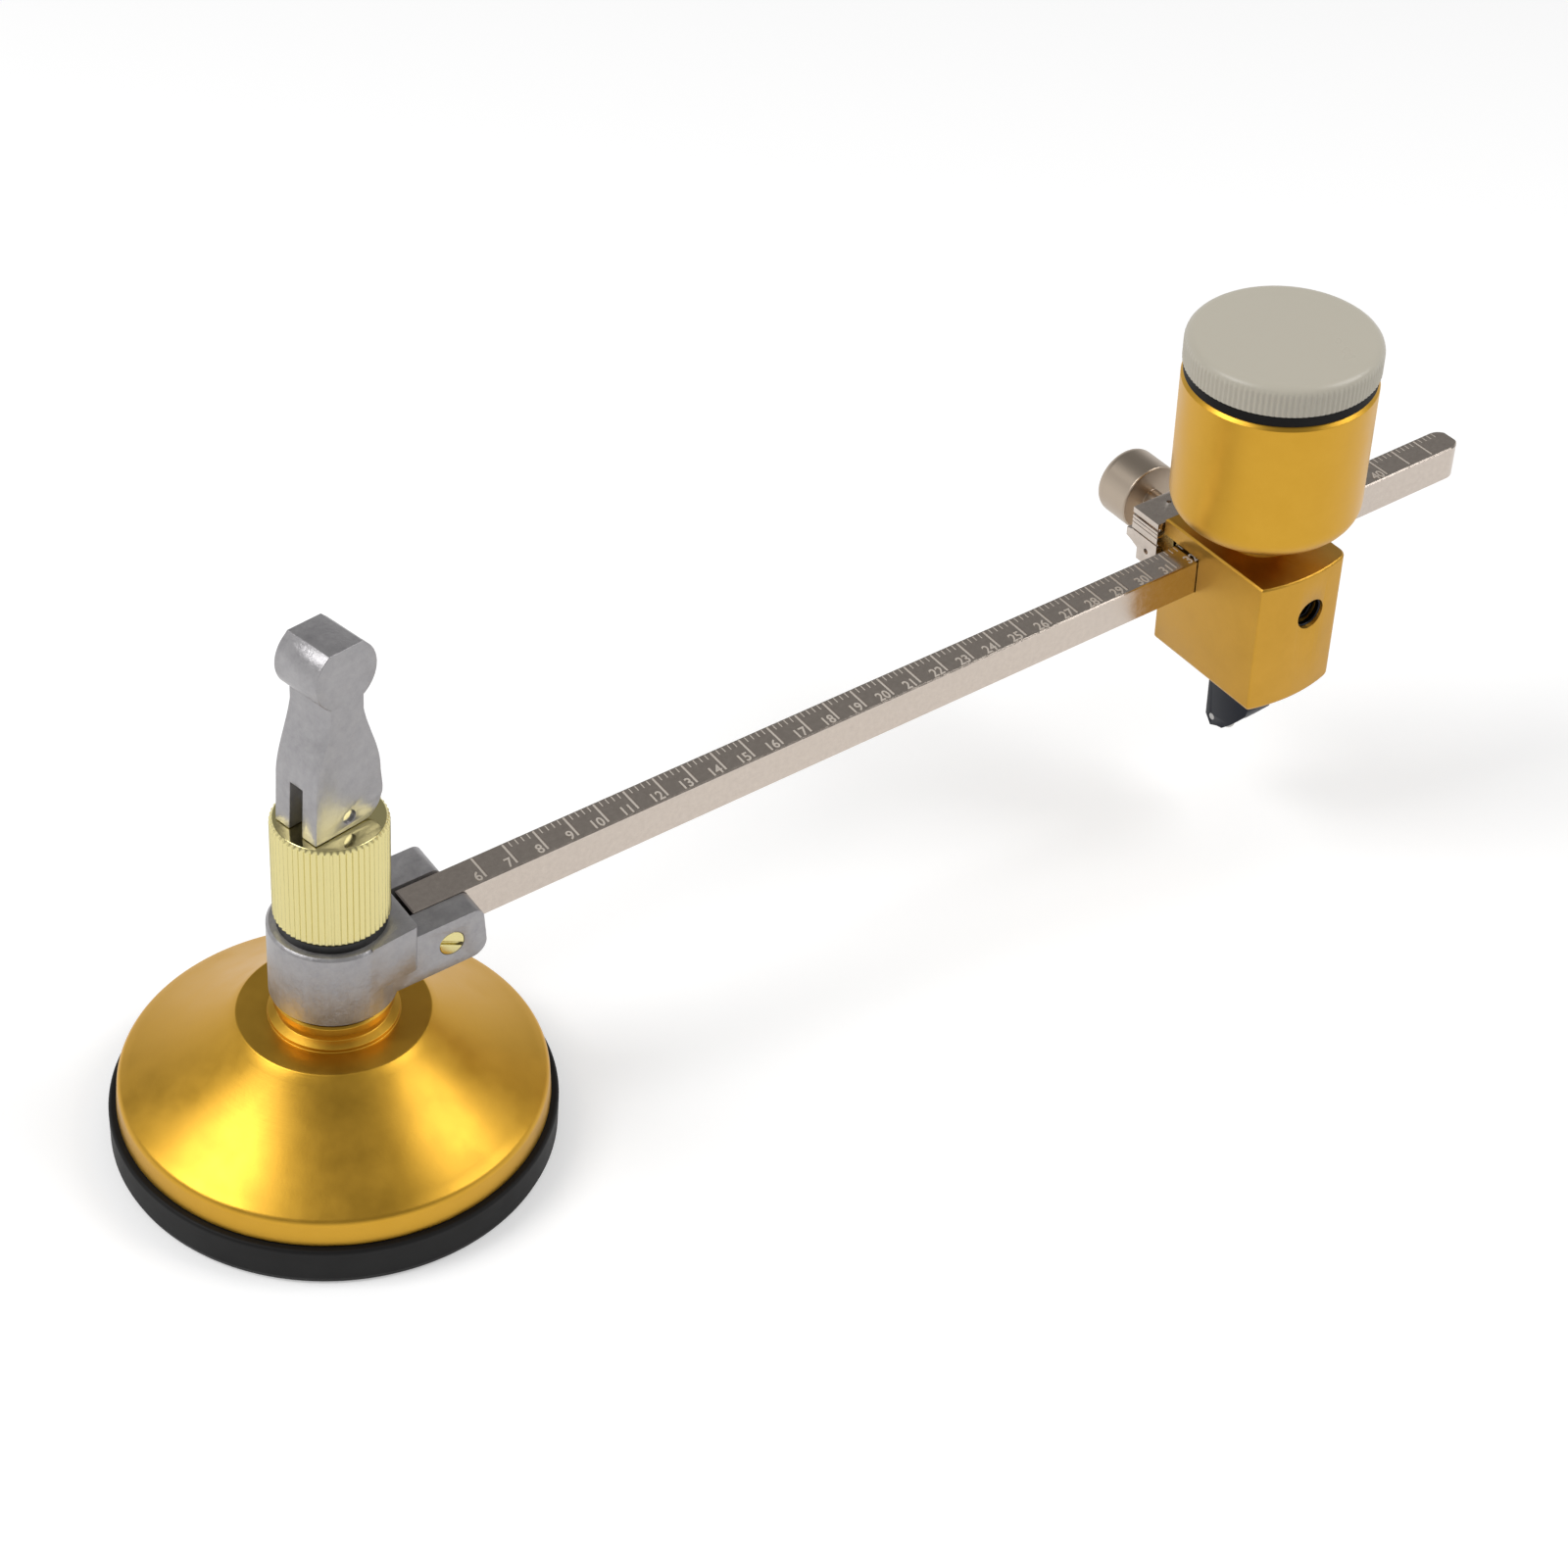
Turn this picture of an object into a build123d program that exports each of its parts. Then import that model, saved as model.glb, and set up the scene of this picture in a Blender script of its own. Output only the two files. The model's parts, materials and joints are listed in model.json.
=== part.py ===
from build123d import *
from math import acos, asin, atan2, cos, degrees, pi, radians, sin
import os

# Circle cutter for glass: a suction cup with a pull-up lever stands at the centre,
# a graduated bar reaches out from a collar, and a head with a cutting wheel slides on the bar.
# Millimetres. Origin on the ground under the cup's centre, +Z up, the bar reaches out along +X.

# Fits and clearances
running_gap = 0.05
face_gap = 0.05
overrun = 1.0

# Suction cup
cup_r = 31.8
cup_foot_draft = 0.4
cup_rim_h = 6.1
cup_edge_bevel = 0.5
cup_lip_w = 4.3
cup_hollow_depth = 2.2
cup_disc_h = 4.8
cup_seat_gap = 0.2
cup_seat_slope = 1.6
cup_boss_r = 10.0
cup_boss_top = 10.2

# Pull rod, moulded into the cup's boss
flange_r = 8.0
flange_low = 6.5
flange_t = 1.8
rod_r = 3.0
tab_t = 2.3

# Dome housing
rim_step = 1.1
rim_draft = 0.3
crease_z = 10.1
rim_wall = 3.3
ledge_r = 13.55
ledge_z = 21.5
ledge_bevel = 0.35
cone_dip = 0.5
step_r = 9.2
step_h = 0.6
groove_r = 8.0
groove_low = 22.6
groove_high = 23.6
neck_r = 8.4
neck_top = 25.3
neck_bevel = 0.3
shell_t = 2.2
roof_r = 11.4

# Centre post
post_r = 5.5
post_flange_r = 7.5
post_flange_t = 2.0

# Return spring, sealed inside the dome
spring_r = 5.9
spring_wall = 0.9

# Washers on the post
thrust_r = 7.9
thrust_t = 0.6
seat_washer_r = 7.6
seat_washer_t = 1.3

# Collar with its fork
collar_r = 8.95
collar_h = 12.3
collar_bevel = 0.4
shoulder_reach = 9.3
shoulder_half = 7.4
shoulder_low = 30.5
shoulder_round = 0.8

# Knurled sleeve
sleeve_r = 8.0
sleeve_h = 16.55
sleeve_web = 3.05
sleeve_bevel = 0.5
knurl_pitch = 0.88
knurl_depth = 0.28

# Cam lever
lever_turn = 14.0
lever_t = 8.1
lever_foot_gap = 0.1
lever_foot_half = 5.8
lever_pin_drop = 1.95
lever_h = 28.95
lever_slot_w = 2.5
lever_slot_h = 7.65
lever_shin_half = 5.5
lever_shin_h = 7.2
lever_calf_half = 4.9
lever_calf_h = 11.2
lever_knee_half = 3.8
lever_knee_h = 14.6
lever_waist_half = 2.75
lever_waist_low = 18.4
lever_waist_high = 20.6
lever_head_half = 5.0
lever_head_h = 25.4
lever_crown_half = 3.15
lever_crown_drop = 0.4
lever_pin_r = 1.0
lever_pin_recess = 0.45

# Graduated bar; its frame starts over the post and leans up towards the head
bar_rise = 6.222
bar_top_z = 35.267
bar_w = 5.4
bar_h = 6.1
bar_start = 11.0
bar_end = 209.6
bar_edge_bevel = 0.2
bar_tip_round = 2.6
tick_first = 27.94
tick_pitch = 5.0
tick_w = 0.3
tick_deep = 0.12
tick_share = 0.82
tick_gap_share = 0.02

# Fork and its hinge
slot_front_gap = 0.12
slot_rear_gap = 0.7
front_ear_out = 7.1
rear_ear_out = 9.4
front_ear_end = 19.6
rear_ear_end = 18.6
ear_drop = 0.2
ear_bottom = 8.4
fork_web = 1.2
slot_wall = 9.9
web_end = 17.2
ear_top_round = 1.5
ear_low_round = 2.5
pivot_u = 14.3
pivot_drop = 4.2
hinge_r = 1.1
hinge_head_r = 1.9
hinge_head_t = 1.1
hinge_slot_w = 0.5
hinge_slot_deep = 0.5
hinge_slot_turn = -30.0
hinge_washer_r = 2.2

# Cutter head; its axis stands square to the bar
head_u = 161.0
head_y = -6.4
block_near = 9.2
block_far = 8.4
block_front = 18.95
block_crown = 1.4
block_back = 5.6
block_top = 3.45
block_bottom = 21.0
block_edge_round = 1.0
block_near_round = 0.5
block_far_round = 2.2
block_edge_bevel = 0.3
slot_roof = 0.45
slot_side_gap = 0.15
boss_r = 5.7
boss_top = 8.6
grub_r = 2.65
grub_shift = 0.7
grub_drop = 4.5
grub_set_back = 2.0
grub_socket_r = 1.7
grub_socket_deep = 2.2
grub_tip_r = 1.1
grub_tip_gap = 0.05

# Wheel holder, its wheel and its axle
shank_r = 2.5
shank_top = 2.3
shank_groove_r = 2.0
shank_groove_half = 1.35
blade_half = 2.6
blade_reach = 4.9
blade_l = 15.7
blade_shares = (
    (1.0, 0.0),
    (0.96, 0.89),
    (0.69, 1.0),
    (0.37, 0.95),
    (0.12, 0.93),
    (-0.29, 0.8),
    (-0.92, 0.55),
    (-1.0, 0.45),
    (-1.0, 0.0),
)
wheel_r = 3.0
wheel_t = 1.2
wheel_edge_t = 0.1
wheel_trail = 3.2
wheel_drop = 13.9
wheel_slot_w = 1.5
wheel_slot_top = 10.6
wheel_axle_r = 0.6

# Clamp at the back of the head
clamp_shift = 1.4
bridge_half = 8.95
bridge_gap = 0.35
bridge_top = 2.4
bridge_bottom = 6.9
bridge_t = 6.15
bridge_lip = 1.2
bridge_lip_top = 2.0
bridge_lip_low = 4.1
bridge_lip_slope = 0.3
bridge_waist = 4.8
bridge_waist_t = 4.6
bridge_groove_deep = 0.8
bridge_grooves = ((1.15, 0.5), (0.35, 0.15), (-0.4, 0.15), (-1.75, 0.3))
bridge_hole_r = 0.5
bridge_hole_out = 2.4
bridge_hole_drop = 4.3
bridge_dot_r = 0.4
bridge_dot_back = 4.0
bridge_dot_u = 5.5
tongue_half = 3.5
tongue_h = 8.0
tongue_t = 1.6
bridge_screw_r = 0.9
bridge_screw_head_r = 1.7
bridge_screw_head_t = 1.0
bridge_screw_pitch = 3.6
bridge_screw_first = 2.4
bridge_screw_bite = 4.0
bridge_screw_count = 2
pad_half = 5.0
pad_low = 5.7
pad_high = 0.4
pocket_gap = 0.3
pocket_deep = 1.35
thumb_screw_r = 1.7
thumb_r = 5.85
thumb_neck = 4.6
thumb_t = 7.6
thumb_round = 1.6

# Handle on the head
axle_r = 2.5
axle_low = 1.5
barrel_r = 15.0
barrel_low_gap = 0.1
barrel_top = 33.9
barrel_floor = 9.3
barrel_round = 4.2
barrel_bevel = 0.6
well_r = 11.4
bush_r = 4.2
bush_l = 4.4
axle_washer_r = 4.8
axle_washer_t = 0.8
axle_nut_r = 3.6
axle_nut_t = 2.4
axle_tip = 0.6
seal_r = 14.7
seal_t = 1.9
cap_r = 15.0
cap_round = 1.6
cap_h = 4.9
cap_crown = 0.25
cap_plug_gap = 0.1
cap_plug_l = 6.3
cap_plug_wall = 1.6
cap_plug_roof = 1.6
rib_count = 110
rib_depth = 0.22

# Radii of the cup and of the dome's rim that seats on it
rim_r = cup_r - rim_step
rim_in_r = rim_r - rim_wall
crease_r = rim_r - rim_draft
cup_foot_r = cup_r - cup_foot_draft
cup_lip_r = cup_r - cup_lip_w
cup_seat_r = rim_in_r - cup_seat_gap

# Heights on the post, from the ground up
flange_high = flange_low + flange_t
thrust_high = neck_top + thrust_t
collar_top = thrust_high + collar_h
sleeve_low = collar_top + seat_washer_t
sleeve_top = sleeve_low + sleeve_h
post_top = sleeve_top - sleeve_web - 2 * face_gap
roof_z = ledge_z - shell_t
post_flange_low = roof_z - post_flange_t

# The foot of the lever is a cam: tipping it a quarter turn lifts the rod evenly
foot_z = sleeve_top + lever_foot_gap
pin_z = foot_z + lever_pin_drop
cam_rise = lever_foot_half - lever_pin_drop
cam_rate = cam_rise / (pi / 2)
tab_low = foot_z - cam_rise - face_gap

# The bar's own directions: out along it, across it, and up from it
out = Vector(cos(radians(bar_rise)), 0, sin(radians(bar_rise)))
across = Vector(0, 1, 0)
up = Vector(-sin(radians(bar_rise)), 0, cos(radians(bar_rise)))


def bar_point(u, y, w):
    """Place u along the bar, y across it and w above its top face."""
    return Vector(0, 0, bar_top_z) + out * u + across * y + up * w


def plan_plane(u, y, w):
    """Plane parallel to the bar's top face."""
    return Plane(origin=bar_point(u, y, w), x_dir=out, z_dir=up)


def side_plane(u, y, w):
    """Plane parallel to the bar's side; its normal points to -Y."""
    return Plane(origin=bar_point(u, y, w), x_dir=out, z_dir=across * -1)


def end_plane(u, y, w):
    """Plane square to the bar's length; its normal points outwards along it."""
    return Plane(origin=bar_point(u, y, w), x_dir=across, z_dir=out)


def toothed_outline(radius, depth, count):
    """Corner points of a round outline with straight V grooves."""
    step = 2 * pi / count
    points = []
    for i in range(count):
        points.append((radius * cos(i * step), radius * sin(i * step)))
        valley = radius - depth
        points.append((valley * cos((i + 0.5) * step), valley * sin((i + 0.5) * step)))
    return points


def dished_arc(radius, rise, low):
    """Arc centred on the upright axis: from the axis at low + rise out to radius at low."""
    bend = (radius**2 + rise**2) / (2 * rise)
    return CenterArc((0, low + rise - bend), bend, 90, -degrees(asin(radius / bend)))


def finish(part, name):
    """Label a finished piece and write it."""
    part.label = name
    export_step(part, f"parts/{name}.step")


os.makedirs("parts", exist_ok=True)
post_axis = Axis.Z
head_axis = Axis(bar_point(head_u, head_y, 0), up)
head_side = side_plane(head_u, head_y, 0)
clamp_u = head_u - clamp_shift
grub_u = head_u + grub_shift
clamp_w = -bar_h / 2

# Suction cup: a rubber disc, hollow underneath, with a thick boss round the rod's flange
with BuildPart() as suction_cup:
    with BuildSketch(Plane.XZ):
        with BuildLine():
            Polyline(
                (0, cup_hollow_depth),
                (0, cup_boss_top),
                (cup_boss_r, cup_boss_top),
                (cup_boss_r, cup_disc_h),
                (cup_seat_r - cup_seat_slope, cup_disc_h),
                (cup_seat_r, cup_rim_h),
                (cup_r - cup_edge_bevel, cup_rim_h),
                (cup_r, cup_rim_h - cup_edge_bevel),
                (cup_r, 2 * cup_edge_bevel),
                (cup_foot_r, 0),
                (cup_lip_r, 0),
            )
            dished_arc(cup_lip_r, cup_hollow_depth, 0)
        make_face()
    revolve(axis=post_axis)
    with BuildSketch(Plane.XZ):
        with BuildLine():
            Polyline(
                (0, flange_low - face_gap),
                (flange_r + running_gap, flange_low - face_gap),
                (flange_r + running_gap, flange_high + face_gap),
                (rod_r + running_gap, flange_high + face_gap),
                (rod_r + running_gap, cup_boss_top + overrun),
                (0, cup_boss_top + overrun),
                close=True,
            )
        make_face()
    revolve(axis=post_axis, mode=Mode.SUBTRACT)
finish(suction_cup.part, "suction_cup")

# Dome housing: spun shell with a rim band, a dished cone, a flat ledge and a grooved neck
cone_mid_share = 0.5
with BuildPart() as dome_housing:
    with BuildSketch(Plane.XZ):
        with BuildLine():
            Polyline((rim_r, cup_rim_h), (crease_r, crease_z))
            ThreePointArc(
                (crease_r, crease_z),
                (
                    crease_r + (ledge_r - crease_r) * cone_mid_share - cone_dip,
                    crease_z + (ledge_z - ledge_bevel - crease_z) * cone_mid_share - cone_dip,
                ),
                (ledge_r, ledge_z - ledge_bevel),
            )
            Polyline(
                (ledge_r, ledge_z - ledge_bevel),
                (ledge_r - ledge_bevel, ledge_z),
                (step_r, ledge_z),
                (step_r, ledge_z + step_h),
                (groove_r, groove_low),
                (groove_r, groove_high),
                (neck_r, groove_high + neck_bevel),
                (neck_r, neck_top - neck_bevel),
                (neck_r - neck_bevel, neck_top),
                (post_r, neck_top),
                (post_r, roof_z),
                (roof_r, roof_z),
                (rim_in_r, crease_z - shell_t),
                (rim_in_r, cup_rim_h),
                (rim_r, cup_rim_h),
            )
        make_face()
    revolve(axis=post_axis)
    fillet(dome_housing.edges().filter_by(GeomType.CIRCLE).group_by(SortBy.RADIUS)[-2], ledge_bevel)
finish(dome_housing.part, "dome_housing")

# Centre post: a flanged tube pressed up into the neck, on which collar and sleeve turn
with BuildPart() as centre_post:
    with BuildSketch(Plane.XY.offset(post_flange_low)):
        Circle(post_flange_r)
    extrude(amount=post_flange_t)
    with BuildSketch(Plane.XY.offset(roof_z)):
        Circle(post_r)
    extrude(amount=post_top - roof_z)
    with BuildSketch(Plane.XY.offset(post_flange_low)):
        Circle(rod_r + running_gap)
    extrude(amount=post_top - post_flange_low, mode=Mode.SUBTRACT)
finish(centre_post.part, "centre_post")

# Return spring: sealed between the cup's boss and the post's flange, so a plain tube stands for it
with BuildPart() as return_spring:
    with BuildSketch(Plane.XY.offset(cup_boss_top)):
        Circle(spring_r)
        Circle(spring_r - spring_wall, mode=Mode.SUBTRACT)
    extrude(amount=post_flange_low - cup_boss_top)
finish(return_spring.part, "return_spring")

# Pull rod: flange in the boss, round stem, and a flat tab with the pin hole
lever_out = Vector(cos(radians(lever_turn)), sin(radians(lever_turn)), 0)
lever_across = Vector(-sin(radians(lever_turn)), cos(radians(lever_turn)), 0)
lever_plane = Plane(origin=(0, 0, 0), x_dir=lever_out, z_dir=lever_across * -1)
with BuildPart() as pull_rod:
    with BuildSketch(Plane.XY.offset(flange_low)):
        Circle(flange_r)
    extrude(amount=flange_t)
    with BuildSketch(Plane.XY.offset(flange_high)):
        Circle(rod_r)
    extrude(amount=tab_low - flange_high)
    with BuildSketch(lever_plane):
        with Locations((0, (tab_low + pin_z) / 2)):
            Rectangle(2 * rod_r, pin_z - tab_low)
        with Locations((0, pin_z)):
            Circle(rod_r)
    extrude(amount=tab_t / 2, both=True)
    with BuildSketch(Plane.XY.offset(tab_low)):
        Circle(rod_r + overrun)
        Circle(rod_r, mode=Mode.SUBTRACT)
    extrude(amount=pin_z + rod_r - tab_low, mode=Mode.SUBTRACT)
    with BuildSketch(lever_plane):
        with Locations((0, pin_z)):
            Circle(lever_pin_r + running_gap)
    extrude(amount=tab_t, both=True, mode=Mode.SUBTRACT)
finish(pull_rod.part, "pull_rod")


def washer(name, low, thick, radius, bore):
    """Flat ring on the post."""
    with BuildPart() as ring:
        with BuildSketch(Plane.XY.offset(low)):
            Circle(radius)
            Circle(bore, mode=Mode.SUBTRACT)
        extrude(amount=thick)
    finish(ring.part, name)


washer("thrust_washer", neck_top, thrust_t, thrust_r, post_r + running_gap)
washer("seat_washer", collar_top, seat_washer_t, seat_washer_r, post_r + running_gap)

# Knurled sleeve: a ribbed cap over the post, its top web guides the rod and seats the lever
knurl_count = round(2 * pi * sleeve_r / knurl_pitch)
with BuildPart() as knurled_sleeve:
    with BuildSketch(Plane.XY.offset(sleeve_low)):
        with BuildLine():
            Polyline(*toothed_outline(sleeve_r, knurl_depth, knurl_count), close=True)
        make_face()
    extrude(amount=sleeve_h)
    with BuildSketch(Plane.XZ):
        with BuildLine():
            Polyline(
                (post_r + running_gap, sleeve_low),
                (sleeve_r - sleeve_bevel, sleeve_low),
                (sleeve_r, sleeve_low + sleeve_bevel),
                (sleeve_r, sleeve_top - sleeve_bevel),
                (sleeve_r - sleeve_bevel, sleeve_top),
                (rod_r + running_gap, sleeve_top),
                (rod_r + running_gap, sleeve_top - sleeve_web),
                (post_r + running_gap, sleeve_top - sleeve_web),
                close=True,
            )
        make_face()
    revolve(axis=post_axis, mode=Mode.INTERSECT)
finish(knurled_sleeve.part, "knurled_sleeve")


def cam_point(turn):
    """Point of the foot that bears on the sleeve when the lever has tipped by turn."""
    reach = lever_pin_drop + cam_rate * turn
    return (reach * sin(turn) + cam_rate * cos(turn), pin_z - reach * cos(turn) + cam_rate * sin(turn))


# Cam lever: forked foot with a cam corner, tapered shin, waist and rounded head
cam_steps = 6
cam_points = [cam_point(pi / 2 * i / cam_steps) for i in range(cam_steps + 1)]
lever_top = foot_z + lever_h
with BuildPart() as cam_lever:
    with BuildSketch(lever_plane):
        with BuildLine():
            Line((-lever_foot_half, foot_z), cam_points[0])
            Spline(*cam_points, tangents=[(1, 0), (0, 1)])
            Line(cam_points[-1], (lever_shin_half, foot_z + lever_shin_h))
            Line((-lever_foot_half, foot_z), (-lever_shin_half, foot_z + lever_shin_h))
            for side in (1, -1):
                Spline(
                    (side * lever_shin_half, foot_z + lever_shin_h),
                    (side * lever_calf_half, foot_z + lever_calf_h),
                    (side * lever_knee_half, foot_z + lever_knee_h),
                    (side * lever_waist_half, foot_z + lever_waist_low),
                )
                Line(
                    (side * lever_waist_half, foot_z + lever_waist_low),
                    (side * lever_waist_half, foot_z + lever_waist_high),
                )
                ThreePointArc(
                    (side * lever_waist_half, foot_z + lever_waist_high),
                    (side * lever_head_half, foot_z + lever_head_h),
                    (side * lever_crown_half, lever_top - lever_crown_drop),
                )
                Line(
                    (side * lever_crown_half, lever_top - lever_crown_drop),
                    (side * (lever_crown_half - lever_crown_drop), lever_top),
                )
            Line(
                (lever_crown_drop - lever_crown_half, lever_top),
                (lever_crown_half - lever_crown_drop, lever_top),
            )
        make_face()
    extrude(amount=lever_t / 2, both=True)
    with BuildSketch(Plane(origin=(0, 0, foot_z - overrun), x_dir=lever_out, z_dir=(0, 0, 1))):
        Rectangle(2 * (lever_foot_half + overrun), lever_slot_w)
    extrude(amount=lever_slot_h + overrun, mode=Mode.SUBTRACT)
    with BuildSketch(lever_plane):
        with Locations((0, pin_z)):
            Circle(lever_pin_r)
    extrude(amount=lever_t, both=True, mode=Mode.SUBTRACT)
finish(cam_lever.part, "cam_lever")

# Lever pin: pressed through the fork's cheeks, its ends a little below the faces
with BuildPart() as lever_pin:
    with BuildSketch(lever_plane):
        with Locations((0, pin_z)):
            Circle(lever_pin_r)
    extrude(amount=lever_t / 2 - lever_pin_recess, both=True)
finish(lever_pin.part, "lever_pin")

# Collar with its fork: round collar, a shoulder whose sides run out of it, two ears and a web under the bar
slot_front = bar_w / 2 + slot_front_gap
slot_rear = bar_w / 2 + slot_rear_gap
slot_mid = (slot_rear - slot_front) / 2
shoulder_r = (shoulder_reach**2 + shoulder_half**2) ** 0.5
tangent_turn = atan2(shoulder_half, shoulder_reach) + acos(collar_r / shoulder_r)
tangent_x = collar_r * cos(tangent_turn)
tangent_y = collar_r * sin(tangent_turn)
with BuildPart() as collar_bracket:
    with BuildSketch(Plane.XY.offset(thrust_high)):
        Circle(collar_r)
    extrude(amount=collar_h)
    chamfer(collar_bracket.edges().filter_by(GeomType.CIRCLE), collar_bevel)
    with BuildSketch(Plane.XY.offset(shoulder_low)) as shoulder:
        with BuildLine():
            Polyline(
                (tangent_x, -tangent_y),
                (shoulder_reach, -shoulder_half),
                (shoulder_reach, shoulder_half),
                (tangent_x, tangent_y),
                close=True,
            )
        make_face()
        fillet(shoulder.vertices().group_by(Axis.X)[-1], shoulder_round)
    extrude(amount=collar_top - shoulder_low)
    for ear_in, ear_out, ear_end in (
        (-slot_front, -front_ear_out, front_ear_end),
        (slot_rear, rear_ear_out, rear_ear_end),
    ):
        with BuildSketch(side_plane(0, (ear_out + ear_in) / 2, 0)):
            with BuildLine():
                Polyline(
                    (0, -ear_drop),
                    (0, -ear_bottom),
                    (ear_end - ear_low_round, -ear_bottom),
                )
                CenterArc(
                    (ear_end - ear_low_round, -ear_bottom + ear_low_round), ear_low_round, -90, 90
                )
                Line((ear_end, -ear_bottom + ear_low_round), (ear_end, -ear_drop - ear_top_round))
                CenterArc((ear_end - ear_top_round, -ear_drop - ear_top_round), ear_top_round, 0, 90)
                Line((ear_end - ear_top_round, -ear_drop), (0, -ear_drop))
            make_face()
        extrude(amount=abs(ear_out - ear_in) / 2, both=True)
    with BuildSketch(plan_plane(web_end / 2, slot_mid, -ear_bottom)):
        Rectangle(web_end, slot_front + slot_rear)
    extrude(amount=fork_web)
    with BuildSketch(plan_plane(slot_wall / 2, slot_mid, -ear_bottom)):
        Rectangle(slot_wall, slot_front + slot_rear)
    extrude(amount=ear_bottom - ear_drop)
    with BuildSketch(Plane.XY.offset(thrust_high - overrun)):
        Circle(post_r + running_gap)
    extrude(amount=collar_h + 2 * overrun, mode=Mode.SUBTRACT)
    with BuildSketch(side_plane(pivot_u, -front_ear_out - overrun, -pivot_drop)):
        Circle(hinge_head_r + running_gap)
    extrude(amount=-(hinge_head_t + overrun), mode=Mode.SUBTRACT)
    with BuildSketch(side_plane(pivot_u, 0, -pivot_drop)):
        Circle(hinge_r)
    extrude(amount=rear_ear_out + overrun, both=True, mode=Mode.SUBTRACT)
finish(collar_bracket.part, "collar_bracket")

# Hinge screw: slotted head sunk into the front ear, shank through the bar into the rear ear
with BuildPart() as hinge_screw:
    with BuildSketch(side_plane(pivot_u, -front_ear_out + hinge_head_t, -pivot_drop)):
        Circle(hinge_head_r)
    extrude(amount=hinge_head_t)
    with BuildSketch(side_plane(pivot_u, -front_ear_out + hinge_head_t, -pivot_drop)):
        Circle(hinge_r)
    extrude(amount=-(front_ear_out - hinge_head_t + rear_ear_out - hinge_r))
    with BuildSketch(side_plane(pivot_u, -front_ear_out, -pivot_drop)):
        Rectangle(2 * hinge_head_r, hinge_slot_w, rotation=hinge_slot_turn)
    extrude(amount=-hinge_slot_deep, mode=Mode.SUBTRACT)
finish(hinge_screw.part, "hinge_screw")

# Hinge washer between the bar and the rear ear
with BuildPart() as hinge_washer:
    with BuildSketch(side_plane(pivot_u, slot_rear - face_gap, -pivot_drop)):
        Circle(hinge_washer_r)
        Circle(hinge_r + running_gap, mode=Mode.SUBTRACT)
    extrude(amount=slot_rear_gap - 2 * face_gap)
finish(hinge_washer.part, "hinge_washer")

# Graduated bar: round far end with its lower edge rounded too, and engraved marks across its top
bar_l = bar_end - bar_start
tick_count = int((bar_end - bar_w - tick_first) / tick_pitch) + 1
with BuildPart() as scale_bar:
    with BuildSketch(plan_plane(bar_start, 0, -bar_h)):
        with Locations(((bar_l - bar_w / 2) / 2, 0)):
            Rectangle(bar_l - bar_w / 2, bar_w)
        with Locations((bar_l - bar_w / 2, 0)):
            Circle(bar_w / 2)
    extrude(amount=bar_h)
    chamfer(scale_bar.faces().sort_by(Axis(bar_point(0, 0, 0), up))[-1].edges(), bar_edge_bevel)
    with BuildSketch(side_plane(0, 0, 0)) as bar_side:
        with BuildLine():
            Polyline(
                (bar_start - overrun, overrun),
                (bar_start - overrun, -bar_h),
                (bar_end, -bar_h),
                (bar_end, overrun),
                close=True,
            )
        make_face()
        fillet(bar_side.vertices().group_by(Axis.X)[-1].sort_by(Axis.Z)[0], bar_tip_round)
    extrude(amount=bar_w, both=True, mode=Mode.INTERSECT)
    with BuildSketch(plan_plane(tick_first, 0, 0)):
        for i in range(tick_count):
            with Locations((i * tick_pitch, bar_w * tick_gap_share)):
                Rectangle(tick_w, bar_w * tick_share)
    extrude(amount=-tick_deep, mode=Mode.SUBTRACT)
    with BuildSketch(side_plane(pivot_u, 0, -pivot_drop)):
        Circle(hinge_r + running_gap)
    extrude(amount=bar_w, both=True, mode=Mode.SUBTRACT)
finish(scale_bar.part, "scale_bar")

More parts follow.
